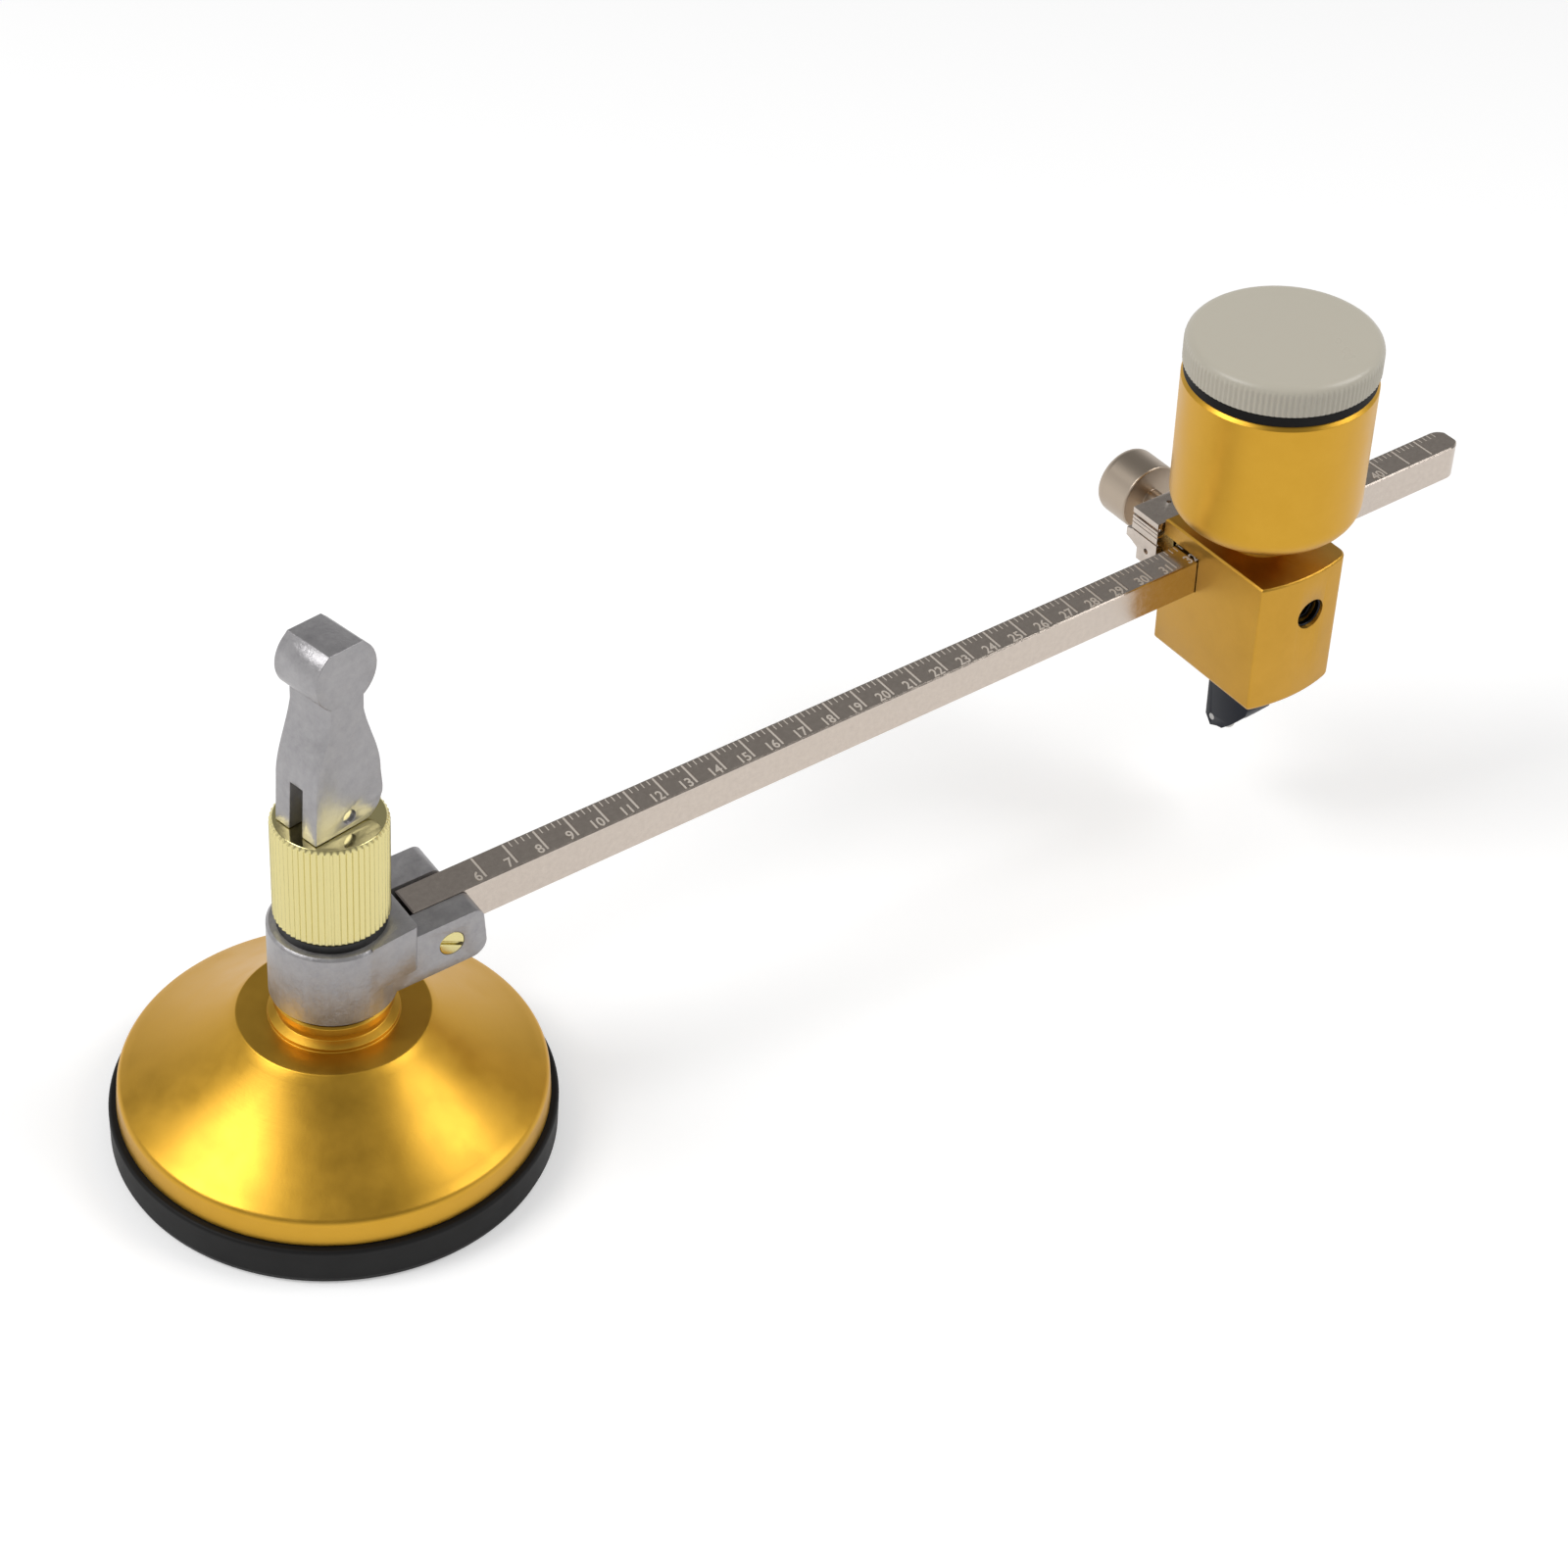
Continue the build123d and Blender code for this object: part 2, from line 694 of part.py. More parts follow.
# Cutter block: flat sides, crowned front, slot for the bar open to the back, boss under the handle
bar_slot_floor = -bar_h - face_gap
front_y = -block_front - head_y
flat_y = front_y + block_crown
back_y = block_back - head_y
slot_y = -bar_w / 2 - slot_side_gap - head_y
block_mid = (block_far - block_near) / 2
with BuildPart() as cutter_block:
    with BuildSketch(plan_plane(head_u, head_y, -block_bottom)):
        with BuildLine():
            Polyline(
                (-block_near, flat_y),
                (-block_near, back_y),
                (block_far, back_y),
                (block_far, flat_y),
            )
            ThreePointArc((-block_near, flat_y), (block_mid, front_y), (block_far, flat_y))
        make_face()
    extrude(amount=block_bottom + block_top)
    upright = cutter_block.edges().filter_by(Axis(bar_point(0, 0, 0), up))
    front_corners = upright.sort_by(Axis.Y)[0:2].sort_by(Axis.X)
    fillet(front_corners[0], block_near_round)
    fillet(front_corners[1], block_far_round)
    fillet(cutter_block.faces().sort_by(Axis(bar_point(0, 0, 0), up))[0].edges(), block_edge_round)
    chamfer(cutter_block.faces().sort_by(Axis(bar_point(0, 0, 0), up))[-1].edges(), block_edge_bevel)
    with BuildSketch(plan_plane(head_u, head_y, block_top)):
        Circle(boss_r)
    extrude(amount=boss_top - block_top)
    with BuildSketch(end_plane(head_u, head_y, 0)):
        with BuildLine():
            Polyline(
                (slot_y, bar_slot_floor),
                (slot_y, slot_roof),
                (back_y + overrun, slot_roof),
                (back_y + overrun, bar_slot_floor),
                close=True,
            )
        make_face()
    extrude(amount=block_near + block_far, both=True, mode=Mode.SUBTRACT)
    with BuildSketch(plan_plane(head_u, head_y, -block_bottom - overrun)):
        Circle(shank_r + running_gap)
    extrude(amount=block_bottom + overrun - shank_top + face_gap, mode=Mode.SUBTRACT)
    with BuildSketch(plan_plane(head_u, head_y, -axle_low)):
        Circle(axle_r)
    extrude(amount=axle_low + boss_top + overrun, mode=Mode.SUBTRACT)
    with BuildSketch(side_plane(grub_u, -block_front - overrun, -grub_drop)):
        Circle(grub_r)
    extrude(amount=-(block_front + overrun + head_y), mode=Mode.SUBTRACT)
    for i in range(bridge_screw_count):
        screw_w = -bridge_bottom - bridge_screw_first - i * bridge_screw_pitch
        with BuildSketch(side_plane(clamp_u, block_back, screw_w)):
            Circle(bridge_screw_r)
        extrude(amount=bridge_screw_bite, mode=Mode.SUBTRACT)
finish(cutter_block.part, "cutter_block")

# Grub screw: hollow hexagon end, its tip in the groove of the holder's shank
grub_out = -block_front + grub_set_back
grub_in = head_y - shank_r - running_gap
with BuildPart() as grub_screw:
    with BuildSketch(side_plane(grub_u, grub_out, -grub_drop)):
        Circle(grub_r)
    extrude(amount=grub_out - grub_in)
    with BuildSketch(side_plane(grub_u, grub_in, -grub_drop)):
        Circle(grub_tip_r)
    extrude(amount=-(shank_r - shank_groove_r + running_gap - grub_tip_gap))
    with BuildSketch(side_plane(grub_u, grub_out, -grub_drop)):
        RegularPolygon(grub_socket_r, 6)
    extrude(amount=-grub_socket_deep, mode=Mode.SUBTRACT)
finish(grub_screw.part, "grub_screw")

# Wheel holder: round shank with a groove, flat blade that forks round the wheel
blade_top = -block_bottom - face_gap
wheel_y = head_y + wheel_trail
wheel_w = -block_bottom - wheel_drop
with BuildPart() as wheel_holder:
    with BuildSketch(end_plane(head_u, head_y, blade_top)):
        with BuildLine():
            Polyline(*[(y * blade_reach, -w * blade_l) for y, w in blade_shares], close=True)
        make_face()
    extrude(amount=blade_half, both=True)
    with BuildSketch(plan_plane(head_u, head_y, blade_top)):
        Circle(shank_r)
    extrude(amount=-blade_top - shank_top)
    with BuildSketch(plan_plane(head_u, head_y, -grub_drop - shank_groove_half)):
        Circle(shank_r + overrun)
        Circle(shank_groove_r, mode=Mode.SUBTRACT)
    extrude(amount=2 * shank_groove_half, mode=Mode.SUBTRACT)
    with BuildSketch(plan_plane(head_u, head_y, -block_bottom - wheel_slot_top)):
        Rectangle(wheel_slot_w, 2 * (blade_reach + overrun))
    extrude(amount=-blade_l, mode=Mode.SUBTRACT)
    with BuildSketch(end_plane(head_u, wheel_y, wheel_w)):
        Circle(wheel_axle_r)
    extrude(amount=blade_half + overrun, both=True, mode=Mode.SUBTRACT)
finish(wheel_holder.part, "wheel_holder")

# Cutting wheel: hard disc ground to an edge
with BuildPart() as cutting_wheel:
    with BuildSketch(side_plane(head_u, wheel_y, wheel_w)):
        with BuildLine():
            Polyline(
                (-wheel_t / 2, wheel_axle_r + running_gap),
                (wheel_t / 2, wheel_axle_r + running_gap),
                (wheel_t / 2, wheel_r - wheel_t / 2),
                (wheel_edge_t / 2, wheel_r),
                (-wheel_edge_t / 2, wheel_r),
                (-wheel_t / 2, wheel_r - wheel_t / 2),
                close=True,
            )
        make_face()
    revolve(axis=Axis(bar_point(head_u, wheel_y, wheel_w), out))
finish(cutting_wheel.part, "cutting_wheel")

with BuildPart() as wheel_axle:
    with BuildSketch(end_plane(head_u, wheel_y, wheel_w)):
        Circle(wheel_axle_r)
    extrude(amount=blade_half, both=True)
finish(wheel_axle.part, "wheel_axle")

# Clamp bridge: nickel block behind the head that closes the slot and carries the thumb screw
bridge_front = block_back + bridge_gap
bridge_rear = bridge_front + bridge_t
bridge_end = bridge_rear + bridge_lip
tongue_front = block_back + face_gap
pocket_end = bridge_front + pocket_deep
with BuildPart() as clamp_bridge:
    with BuildSketch(end_plane(clamp_u, 0, 0)):
        with BuildLine():
            Polyline(
                (bridge_front, bridge_top),
                (bridge_rear, bridge_top),
                (bridge_rear, -bridge_lip_top),
                (bridge_end, -bridge_lip_top - bridge_lip_slope),
                (bridge_end, -bridge_lip_low + bridge_lip_slope),
                (bridge_rear, -bridge_lip_low),
                (bridge_front + bridge_waist_t, -bridge_waist),
                (bridge_front + bridge_waist_t, -bridge_bottom),
                (bridge_front, -bridge_bottom),
                close=True,
            )
        make_face()
    extrude(amount=bridge_half, both=True)
    with BuildSketch(plan_plane(clamp_u, tongue_front + tongue_t / 2, -bridge_bottom)):
        Rectangle(2 * tongue_half, tongue_t)
    extrude(amount=-tongue_h)
    with BuildSketch(end_plane(clamp_u, 0, 0)):
        with BuildLine():
            Polyline(
                (bridge_front - overrun, pocket_gap - pad_high),
                (pocket_end, pocket_gap - pad_high),
                (pocket_end, -pad_low - pocket_gap),
                (bridge_front - overrun, -pad_low - pocket_gap),
                close=True,
            )
        make_face()
    extrude(amount=pad_half + pocket_gap, both=True, mode=Mode.SUBTRACT)
    for groove_w, groove_h in bridge_grooves:
        with BuildSketch(end_plane(clamp_u - bridge_half, bridge_front + bridge_t / 2, groove_w)):
            Rectangle(2 * bridge_t, groove_h)
        extrude(amount=min(groove_h, bridge_groove_deep), mode=Mode.SUBTRACT)
    with BuildSketch(end_plane(clamp_u - bridge_half, bridge_front + bridge_hole_out, -bridge_hole_drop)):
        Circle(bridge_hole_r)
    extrude(amount=3 * bridge_hole_r, mode=Mode.SUBTRACT)
    with BuildSketch(
        plan_plane(clamp_u - bridge_half + bridge_dot_u, bridge_front + bridge_dot_back, bridge_top)
    ):
        Circle(bridge_dot_r)
    extrude(amount=-2 * bridge_dot_r, mode=Mode.SUBTRACT)
    with BuildSketch(side_plane(clamp_u, bridge_end + overrun, clamp_w)):
        Circle(thumb_screw_r + running_gap)
    extrude(amount=bridge_t + bridge_lip + 2 * overrun, mode=Mode.SUBTRACT)
    for i in range(bridge_screw_count):
        screw_w = -bridge_bottom - bridge_screw_first - i * bridge_screw_pitch
        with BuildSketch(side_plane(clamp_u, tongue_front, screw_w)):
            Circle(bridge_screw_r)
        extrude(amount=-tongue_t, mode=Mode.SUBTRACT)
finish(clamp_bridge.part, "clamp_bridge")

# Bridge screws: two pan heads that hold the bridge's tongue to the block
with BuildPart() as bridge_screws:
    for i in range(bridge_screw_count):
        screw_w = -bridge_bottom - bridge_screw_first - i * bridge_screw_pitch
        with BuildSketch(side_plane(clamp_u, tongue_front + tongue_t, screw_w)):
            Circle(bridge_screw_r)
        extrude(amount=tongue_t + face_gap + bridge_screw_bite - running_gap)
        with BuildSketch(side_plane(clamp_u, tongue_front + tongue_t + bridge_screw_head_t, screw_w)):
            Circle(bridge_screw_head_r)
        extrude(amount=bridge_screw_head_t)
        with BuildSketch(side_plane(clamp_u, tongue_front + tongue_t + bridge_screw_head_t, screw_w)):
            Rectangle(2 * bridge_screw_head_r, hinge_slot_w)
        extrude(amount=hinge_slot_deep, mode=Mode.SUBTRACT)
finish(bridge_screws.part, "bridge_screws")

# Clamp pad: brass block that the thumb screw presses against the bar
pad_front = bar_w / 2 + face_gap
pad_back = bridge_front - 2 * face_gap
with BuildPart() as clamp_pad:
    with BuildSketch(end_plane(clamp_u, 0, 0)):
        with Locations(((pad_front + pad_back) / 2, -(pad_low + pad_high) / 2)):
            Rectangle(pad_back - pad_front, pad_low - pad_high)
    extrude(amount=pad_half, both=True)
finish(clamp_pad.part, "clamp_pad")

# Thumb screw: shank through the bridge, plain round knob with a large rounded outer edge
thumb_near = bridge_end + thumb_neck
with BuildPart() as clamp_screw:
    with BuildSketch(side_plane(clamp_u, thumb_near, clamp_w)):
        Circle(thumb_screw_r)
    extrude(amount=thumb_near - pad_back)
    with BuildSketch(side_plane(clamp_u, thumb_near + thumb_t, clamp_w)):
        Circle(thumb_r)
    extrude(amount=thumb_t)
    fillet(clamp_screw.edges().filter_by(GeomType.CIRCLE).sort_by(Axis.Y)[-1], thumb_round)
finish(clamp_screw.part, "clamp_screw")

# Handle axle: stud in the boss, on which the handle turns
barrel_low = boss_top + barrel_low_gap
well_floor = barrel_low + barrel_floor
washer_low = well_floor + face_gap
nut_low = washer_low + axle_washer_t
nut_high = nut_low + axle_nut_t
axle_top = nut_high + axle_tip
with BuildPart() as handle_axle:
    with BuildSketch(plan_plane(head_u, head_y, -axle_low)):
        Circle(axle_r)
    extrude(amount=axle_low + axle_top)
finish(handle_axle.part, "handle_axle")

with BuildPart() as axle_washer:
    with BuildSketch(plan_plane(head_u, head_y, washer_low)):
        Circle(axle_washer_r)
        Circle(axle_r, mode=Mode.SUBTRACT)
    extrude(amount=axle_washer_t)
finish(axle_washer.part, "axle_washer")

with BuildPart() as axle_nut:
    with BuildSketch(plan_plane(head_u, head_y, nut_low)):
        RegularPolygon(axle_nut_r, 6)
        Circle(axle_r, mode=Mode.SUBTRACT)
    extrude(amount=axle_nut_t)
finish(axle_nut.part, "axle_nut")

# Barrel bushes: two bronze bushes in the handle's floor
with BuildPart() as barrel_bushes:
    for low in (barrel_low, well_floor - bush_l):
        with BuildSketch(plan_plane(head_u, head_y, low)):
            Circle(bush_r)
            Circle(axle_r + running_gap, mode=Mode.SUBTRACT)
        extrude(amount=bush_l)
finish(barrel_bushes.part, "barrel_bushes")

# Handle barrel: thick floor round the bushes, open well above it for spare wheels
with BuildPart() as handle_barrel:
    with BuildSketch(head_side):
        with BuildLine():
            Line((bush_r, barrel_low), (barrel_r - barrel_round, barrel_low))
            CenterArc((barrel_r - barrel_round, barrel_low + barrel_round), barrel_round, -90, 90)
            Polyline(
                (barrel_r, barrel_low + barrel_round),
                (barrel_r, barrel_top - barrel_bevel),
                (barrel_r - barrel_bevel, barrel_top),
                (well_r, barrel_top),
                (well_r, well_floor),
                (bush_r, well_floor),
                (bush_r, barrel_low),
            )
        make_face()
    revolve(axis=head_axis)
finish(handle_barrel.part, "handle_barrel")

# Cap seal: flat rubber ring between barrel and cap
seal_top = barrel_top + seal_t
plug_r = well_r - cap_plug_gap
with BuildPart() as cap_seal:
    with BuildSketch(plan_plane(head_u, head_y, barrel_top)):
        Circle(seal_r)
        Circle(well_r, mode=Mode.SUBTRACT)
    extrude(amount=seal_t)
finish(cap_seal.part, "cap_seal")

# Barrel cap: ribbed skirt, rounded shoulder, slightly crowned top and a hollow plug into the well
cap_top = seal_top + cap_h
cap_top_r = cap_r - cap_round
cap_bulge_share = 0.33
with BuildPart() as barrel_cap:
    with BuildSketch(plan_plane(head_u, head_y, seal_top)):
        with BuildLine():
            Polyline(*toothed_outline(cap_r, rib_depth, rib_count), close=True)
        make_face()
    extrude(amount=cap_h + cap_crown)
    with BuildSketch(head_side):
        with BuildLine():
            Polyline(
                (0, cap_top + cap_crown),
                (0, seal_top),
                (cap_r, seal_top),
                (cap_r, cap_top - cap_round),
            )
            ThreePointArc(
                (cap_r, cap_top - cap_round),
                (cap_r - cap_round * cap_bulge_share, cap_top - cap_round * cap_bulge_share),
                (cap_top_r, cap_top),
            )
            dished_arc(cap_top_r, cap_crown, cap_top)
        make_face()
    revolve(axis=head_axis, mode=Mode.INTERSECT)
    with BuildSketch(plan_plane(head_u, head_y, seal_top)):
        Circle(plug_r)
    extrude(amount=-cap_plug_l)
    with BuildSketch(plan_plane(head_u, head_y, seal_top + cap_plug_roof)):
        Circle(plug_r - cap_plug_wall)
    extrude(amount=-(cap_plug_l + cap_plug_roof + overrun), mode=Mode.SUBTRACT)
finish(barrel_cap.part, "barrel_cap")
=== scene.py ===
# %% [markdown]
# # A circle cutter for glass
# A rubber suction cup holds the centre of the circle, a nickel-plated bar turns round it,
# and a gold head on the bar carries the cutting wheel and a round handle.
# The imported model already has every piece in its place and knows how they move.
# This lesson gives it the looks: turned and cast surfaces, engraved marks, metals, rubber and plastic.

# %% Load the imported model
import json
import math

import bmesh
import bpy
import numpy as np
from mathutils import Matrix, Vector


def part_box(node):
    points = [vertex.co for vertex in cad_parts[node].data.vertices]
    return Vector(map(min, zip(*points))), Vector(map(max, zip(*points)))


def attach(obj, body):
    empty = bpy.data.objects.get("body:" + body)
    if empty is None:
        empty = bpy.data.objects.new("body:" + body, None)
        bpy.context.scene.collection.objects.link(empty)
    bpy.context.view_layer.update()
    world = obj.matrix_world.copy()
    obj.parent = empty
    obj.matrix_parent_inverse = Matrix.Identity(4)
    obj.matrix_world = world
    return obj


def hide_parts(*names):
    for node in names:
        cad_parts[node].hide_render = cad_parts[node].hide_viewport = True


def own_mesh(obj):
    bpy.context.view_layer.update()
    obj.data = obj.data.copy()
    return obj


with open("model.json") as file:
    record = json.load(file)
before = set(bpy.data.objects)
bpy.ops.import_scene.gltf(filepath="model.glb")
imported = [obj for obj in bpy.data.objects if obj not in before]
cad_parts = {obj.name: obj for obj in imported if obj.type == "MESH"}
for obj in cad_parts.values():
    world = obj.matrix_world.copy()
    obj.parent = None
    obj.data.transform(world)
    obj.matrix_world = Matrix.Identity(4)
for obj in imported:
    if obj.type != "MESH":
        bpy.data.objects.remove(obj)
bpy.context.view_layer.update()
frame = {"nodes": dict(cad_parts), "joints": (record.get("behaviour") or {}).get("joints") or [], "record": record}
MM = 0.001
nodes = frame["nodes"]
joints = {joint["name"]: joint for joint in frame["joints"]}
slot_of = {part["node"]: part["material_slot"] for part in frame["record"]["subparts"]}
print("nodes:", len(nodes), "joints:", len(joints))

# %% [markdown]
# ## Directions to build in
# The cup and its post stand upright, but the bar leans up a few degrees towards the head, and
# everything on the head leans with it. Rather than copy angles by hand, the script asks the joints:
# the head slides along the bar, and the handle turns about an axis square to it.
# A place on the bar is then given as three lengths: out along it, across it, and above its top.

# %% The bar's own directions
upright_axis = np.array((0.0, 0.0, 1.0))
out = np.array(joints["head_slide"]["axis"], float)
across = np.array((0.0, 1.0, 0.0))
up = np.cross(out, across)
bar_lean = math.atan2(out[2], out[0])
handle_centre = np.array(joints["handle_spin"]["pos_m"], float)


def reach(node, direction):
    """Smallest and largest distance of a node's corners along a direction from the origin."""
    mesh = nodes[node].data
    corners = np.empty(len(mesh.vertices) * 3, np.float32)
    mesh.vertices.foreach_get("co", corners)
    along = corners.reshape(-1, 3) @ direction
    return float(along.min()), float(along.max())


def reach_mm(node, direction):
    """The same two distances in millimetres."""
    return tuple(distance / MM for distance in reach(node, direction))


bar_zero = np.array((0.0, 0.0, reach("scale_bar", up)[1] / up[2]))
print("lean in degrees:", round(math.degrees(bar_lean), 2), "bar top over the post:", bar_zero)

# %% [markdown]
# ## The camera
# The photograph was taken from the near left, looking down at a little under forty degrees, with
# the camera rolled a few degrees. A perspective camera is a place, three directions and a lens.
# The numbers were fitted to the photograph's own edges, so the render lies over it line by line.

# %% Camera
aim = np.array((90.0, 0.0, 25.0)) * MM
azimuth, elevation, roll = (math.radians(a) for a in (-37.738, 37.895, 5.876))
distance, side_shift, rise_shift = 431.541 * MM, 11.71 * MM, -2.083 * MM
lens_mm, sensor_mm, nearest_mm = 64.125, 36.0, 10


def add_to_scene(name, data):
    """A new object that holds some data, standing at the origin of the scene."""
    item = bpy.data.objects.new(name, data)
    bpy.context.scene.collection.objects.link(item)
    return item


back = np.array((
    math.sin(azimuth) * math.cos(elevation),
    -math.cos(azimuth) * math.cos(elevation),
    math.sin(elevation),
))
level = np.array((math.cos(azimuth), math.sin(azimuth), 0.0))
steep = np.cross(back, level)
right = math.cos(roll) * level + math.sin(roll) * steep
top = -math.sin(roll) * level + math.cos(roll) * steep
eye = aim + back * distance - right * side_shift - top * rise_shift

camera_data = bpy.data.cameras.new("camera")
camera_data.lens = lens_mm
camera_data.sensor_width = sensor_mm
camera_data.clip_start = nearest_mm * MM
camera = add_to_scene("camera", camera_data)
turned_axes = np.array((right, top, back)).T
camera.matrix_world = Matrix([(*row, place) for row, place in zip(turned_axes, eye)] + [(0, 0, 0, 1)])
bpy.context.scene.camera = camera
print("camera at", np.round(eye, 4))

# %% [markdown]
# ## Colours and nodes
# A material is a little network of nodes. One helper adds a node, sets its values and joins its
# inputs, so each material below reads as a recipe. Colours are written as the hex values that a
# paint chart gives, and one function turns them into the linear values that the renderer works in.

# %% Colours and nodes


def linear(hex_colour):
    """Hex sRGB to linear red, green, blue and alpha: the sRGB curve undone channel by channel."""
    values = [int(hex_colour[i : i + 2], 16) / 255 for i in (1, 3, 5)]
    return (*[v / 12.92 if v <= 0.04045 else ((v + 0.055) / 1.055) ** 2.4 for v in values], 1.0)


def add_node(tree, kind, settings=None, **inputs):
    """Add a node, set its own settings, and give each named input a value or an output to join.

    An input goes by its socket's name, with _ for a space, or by the letter i and its number.
    """
    node = tree.nodes.new(kind)
    for key, value in (settings or {}).items():
        setattr(node, key, value)
    for key, value in inputs.items():
        numbered = key[0] == "i" and key[1:].isdigit()
        socket = node.inputs[int(key[1:]) if numbered else key.replace("_", " ")]
        if isinstance(value, bpy.types.NodeSocket):
            tree.links.new(value, socket)
        else:
            socket.default_value = value
    return node


def new_material(name, colour, metallic, roughness, **extra):
    """A material with one Principled shader; returns the material, its tree and the shader."""
    material = bpy.data.materials.new(name)
    material.use_nodes = True
    tree = material.node_tree
    shader = tree.nodes["Principled BSDF"]
    shader.inputs["Base Color"].default_value = linear(colour)
    shader.inputs["Metallic"].default_value = metallic
    shader.inputs["Roughness"].default_value = roughness
    for key, value in extra.items():
        shader.inputs[key.replace("_", " ")].default_value = value
    return material, tree, shader


print("gold in linear light:", np.round(linear("#CC9C38"), 3))

# %% [markdown]
# ## Patterns at their real size
# A finish is never quite even, and its unevenness has a size: a tool leaves rings a fraction of a
# millimetre apart, a tumbled casting has stains of a millimetre or two. Noise gives both, once its
# scale is worked out from a length. It reads Object coordinates, which stay with the piece when it
# moves. On the head they are first turned back by the bar's lean, so that rings run true.

# %% Patterns


def place_of(tree, centre=(0, 0, 0), lean=0.0):
    """Object coordinates counted from a centre and turned back by a lean about Y."""
    place = add_node(tree, "ShaderNodeTexCoord").outputs["Object"]
    moved = add_node(tree, "ShaderNodeVectorMath", {"operation": "SUBTRACT"}, i0=place, i1=tuple(centre))
    turned = add_node(
        tree, "ShaderNodeVectorRotate", {"rotation_type": "Y_AXIS"}, Vector=moved.outputs[0], Angle=lean
    )
    return turned.outputs[0]


def ring_place(tree, place):
    """Radius and height in a turned piece's own frame, as a vector (radius, height, 0)."""
    parts = add_node(tree, "ShaderNodeSeparateXYZ", i0=place)
    flat = add_node(tree, "ShaderNodeCombineXYZ", i0=parts.outputs[0], i1=parts.outputs[1])
    radius = add_node(tree, "ShaderNodeVectorMath", {"operation": "LENGTH"}, i0=flat.outputs[0])
    pair = add_node(tree, "ShaderNodeCombineXYZ", i0=radius.outputs["Value"], i1=parts.outputs[2])
    return pair.outputs[0]


def noise(tree, place, sizes_mm, detail=3.0, roughness=0.6):
    """Noise with patches of a real size each way: place times 1 / size, in patches per metre.

    An infinite size leaves the pattern the same that way.
    """
    per_metre = tuple(1 / (size * MM) for size in sizes_mm)
    scaled = add_node(tree, "ShaderNodeMapping", i0=place, Scale=per_metre)
    pattern = add_node(
        tree, "ShaderNodeTexNoise", i0=scaled.outputs[0], Scale=1.0, Detail=detail, Roughness=roughness
    )
    return pattern.outputs[0]


noise_low, noise_high = 0.3, 0.7
print("noise is read from", noise_low, "to", noise_high, "because it seldom goes past them")

# %% [markdown]
# ## Relief, gloss and colour from a pattern
# Three things make a metal look handled rather than drawn: a tooth that the light grazes, gloss
# that changes from patch to patch, and a colour that drifts a little with it. One function joins
# a height pattern as relief of a real depth, and a second pattern to the gloss and the colour.

# %% Detail


def give_detail(tree, shader, relief, depth_mm, pattern=None, gloss=None, colours=None):
    """Relief from one pattern; roughness between two values and colour between two from another."""
    tooth = add_node(tree, "ShaderNodeBump", Height=relief, Distance=depth_mm * MM, Strength=1.0)
    tree.links.new(tooth.outputs[0], shader.inputs["Normal"])
    if gloss:
        dull = add_node(
            tree, "ShaderNodeMapRange", Value=pattern,
            From_Min=noise_low, From_Max=noise_high, To_Min=gloss[0], To_Max=gloss[1],
        )
        tree.links.new(dull.outputs[0], shader.inputs["Roughness"])
    if colours:
        dark, light = (linear(colour) for colour in colours)
        mix = add_node(tree, "ShaderNodeMix", {"data_type": "RGBA"}, i0=pattern, i6=dark, i7=light)
        tree.links.new(mix.outputs[2], shader.inputs["Base Color"])


print("detail joins relief, gloss and colour")

# %% [markdown]
# ## Gold anodised aluminium
# The dome, the block and the handle are aluminium, turned or milled, etched matt and then
# anodised in a gold dye. To the eye that is a metal whose reflections are soft and yellow: dark
# ochre where it reflects a dim room and lemon where it meets a lamp. Turned faces keep very fine
# rings, drawn here coarser than the tool's real feed so that they show at all.

# %% Gold anodised aluminium


def gold_anodised(name, centre, lean, turned):
    """Satin gold metal; a turned one has fine rings about its axis, a milled one an even etch."""
    material, tree, shader = new_material(name, "#CC9C38", metallic=1.0, roughness=0.4)
    place = place_of(tree, centre, lean)
    ring_mm, etch_mm, cloud_mm = 0.35, 0.4, 5.0
    turned_depth_mm, milled_depth_mm = 0.007, 0.016
    turned_gloss, milled_gloss = (0.33, 0.42), (0.34, 0.43)
    etch = noise(tree, place, (etch_mm,) * 3)
    cloud = noise(tree, place, (cloud_mm,) * 3, detail=4.0)
    if turned:
        rings = noise(tree, ring_place(tree, place), (ring_mm, ring_mm, math.inf), detail=2.0)
        relief = add_node(tree, "ShaderNodeMath", {"operation": "ADD"}, i0=etch, i1=rings).outputs[0]
        give_detail(tree, shader, relief, turned_depth_mm, cloud, turned_gloss, ("#C39431", "#D3A43D"))
    else:
        give_detail(tree, shader, etch, milled_depth_mm, cloud, milled_gloss, ("#B78A34", "#CC9D41"))
    return material


gold_dome = gold_anodised("gold_anodised_turned_dome", (0, 0, 0), 0.0, turned=True)
gold_barrel = gold_anodised("gold_anodised_turned_barrel", handle_centre, bar_lean, turned=True)
gold_block = gold_anodised("gold_anodised_milled_block", handle_centre, bar_lean, turned=False)
print("gold:", gold_dome.name, gold_barrel.name, gold_block.name)

# %% [markdown]
# ## Nickel plate and zinc casting
# The bar is steel that was drawn, ground along its length and nickel plated, so its grain runs
# along it, and the plate gives it a warm, slightly mottled mirror. The bracket and the lever are
# zinc castings, tumbled to a grey satin with a faint pebble and stains of a darker grey.

# %% Nickel and zinc


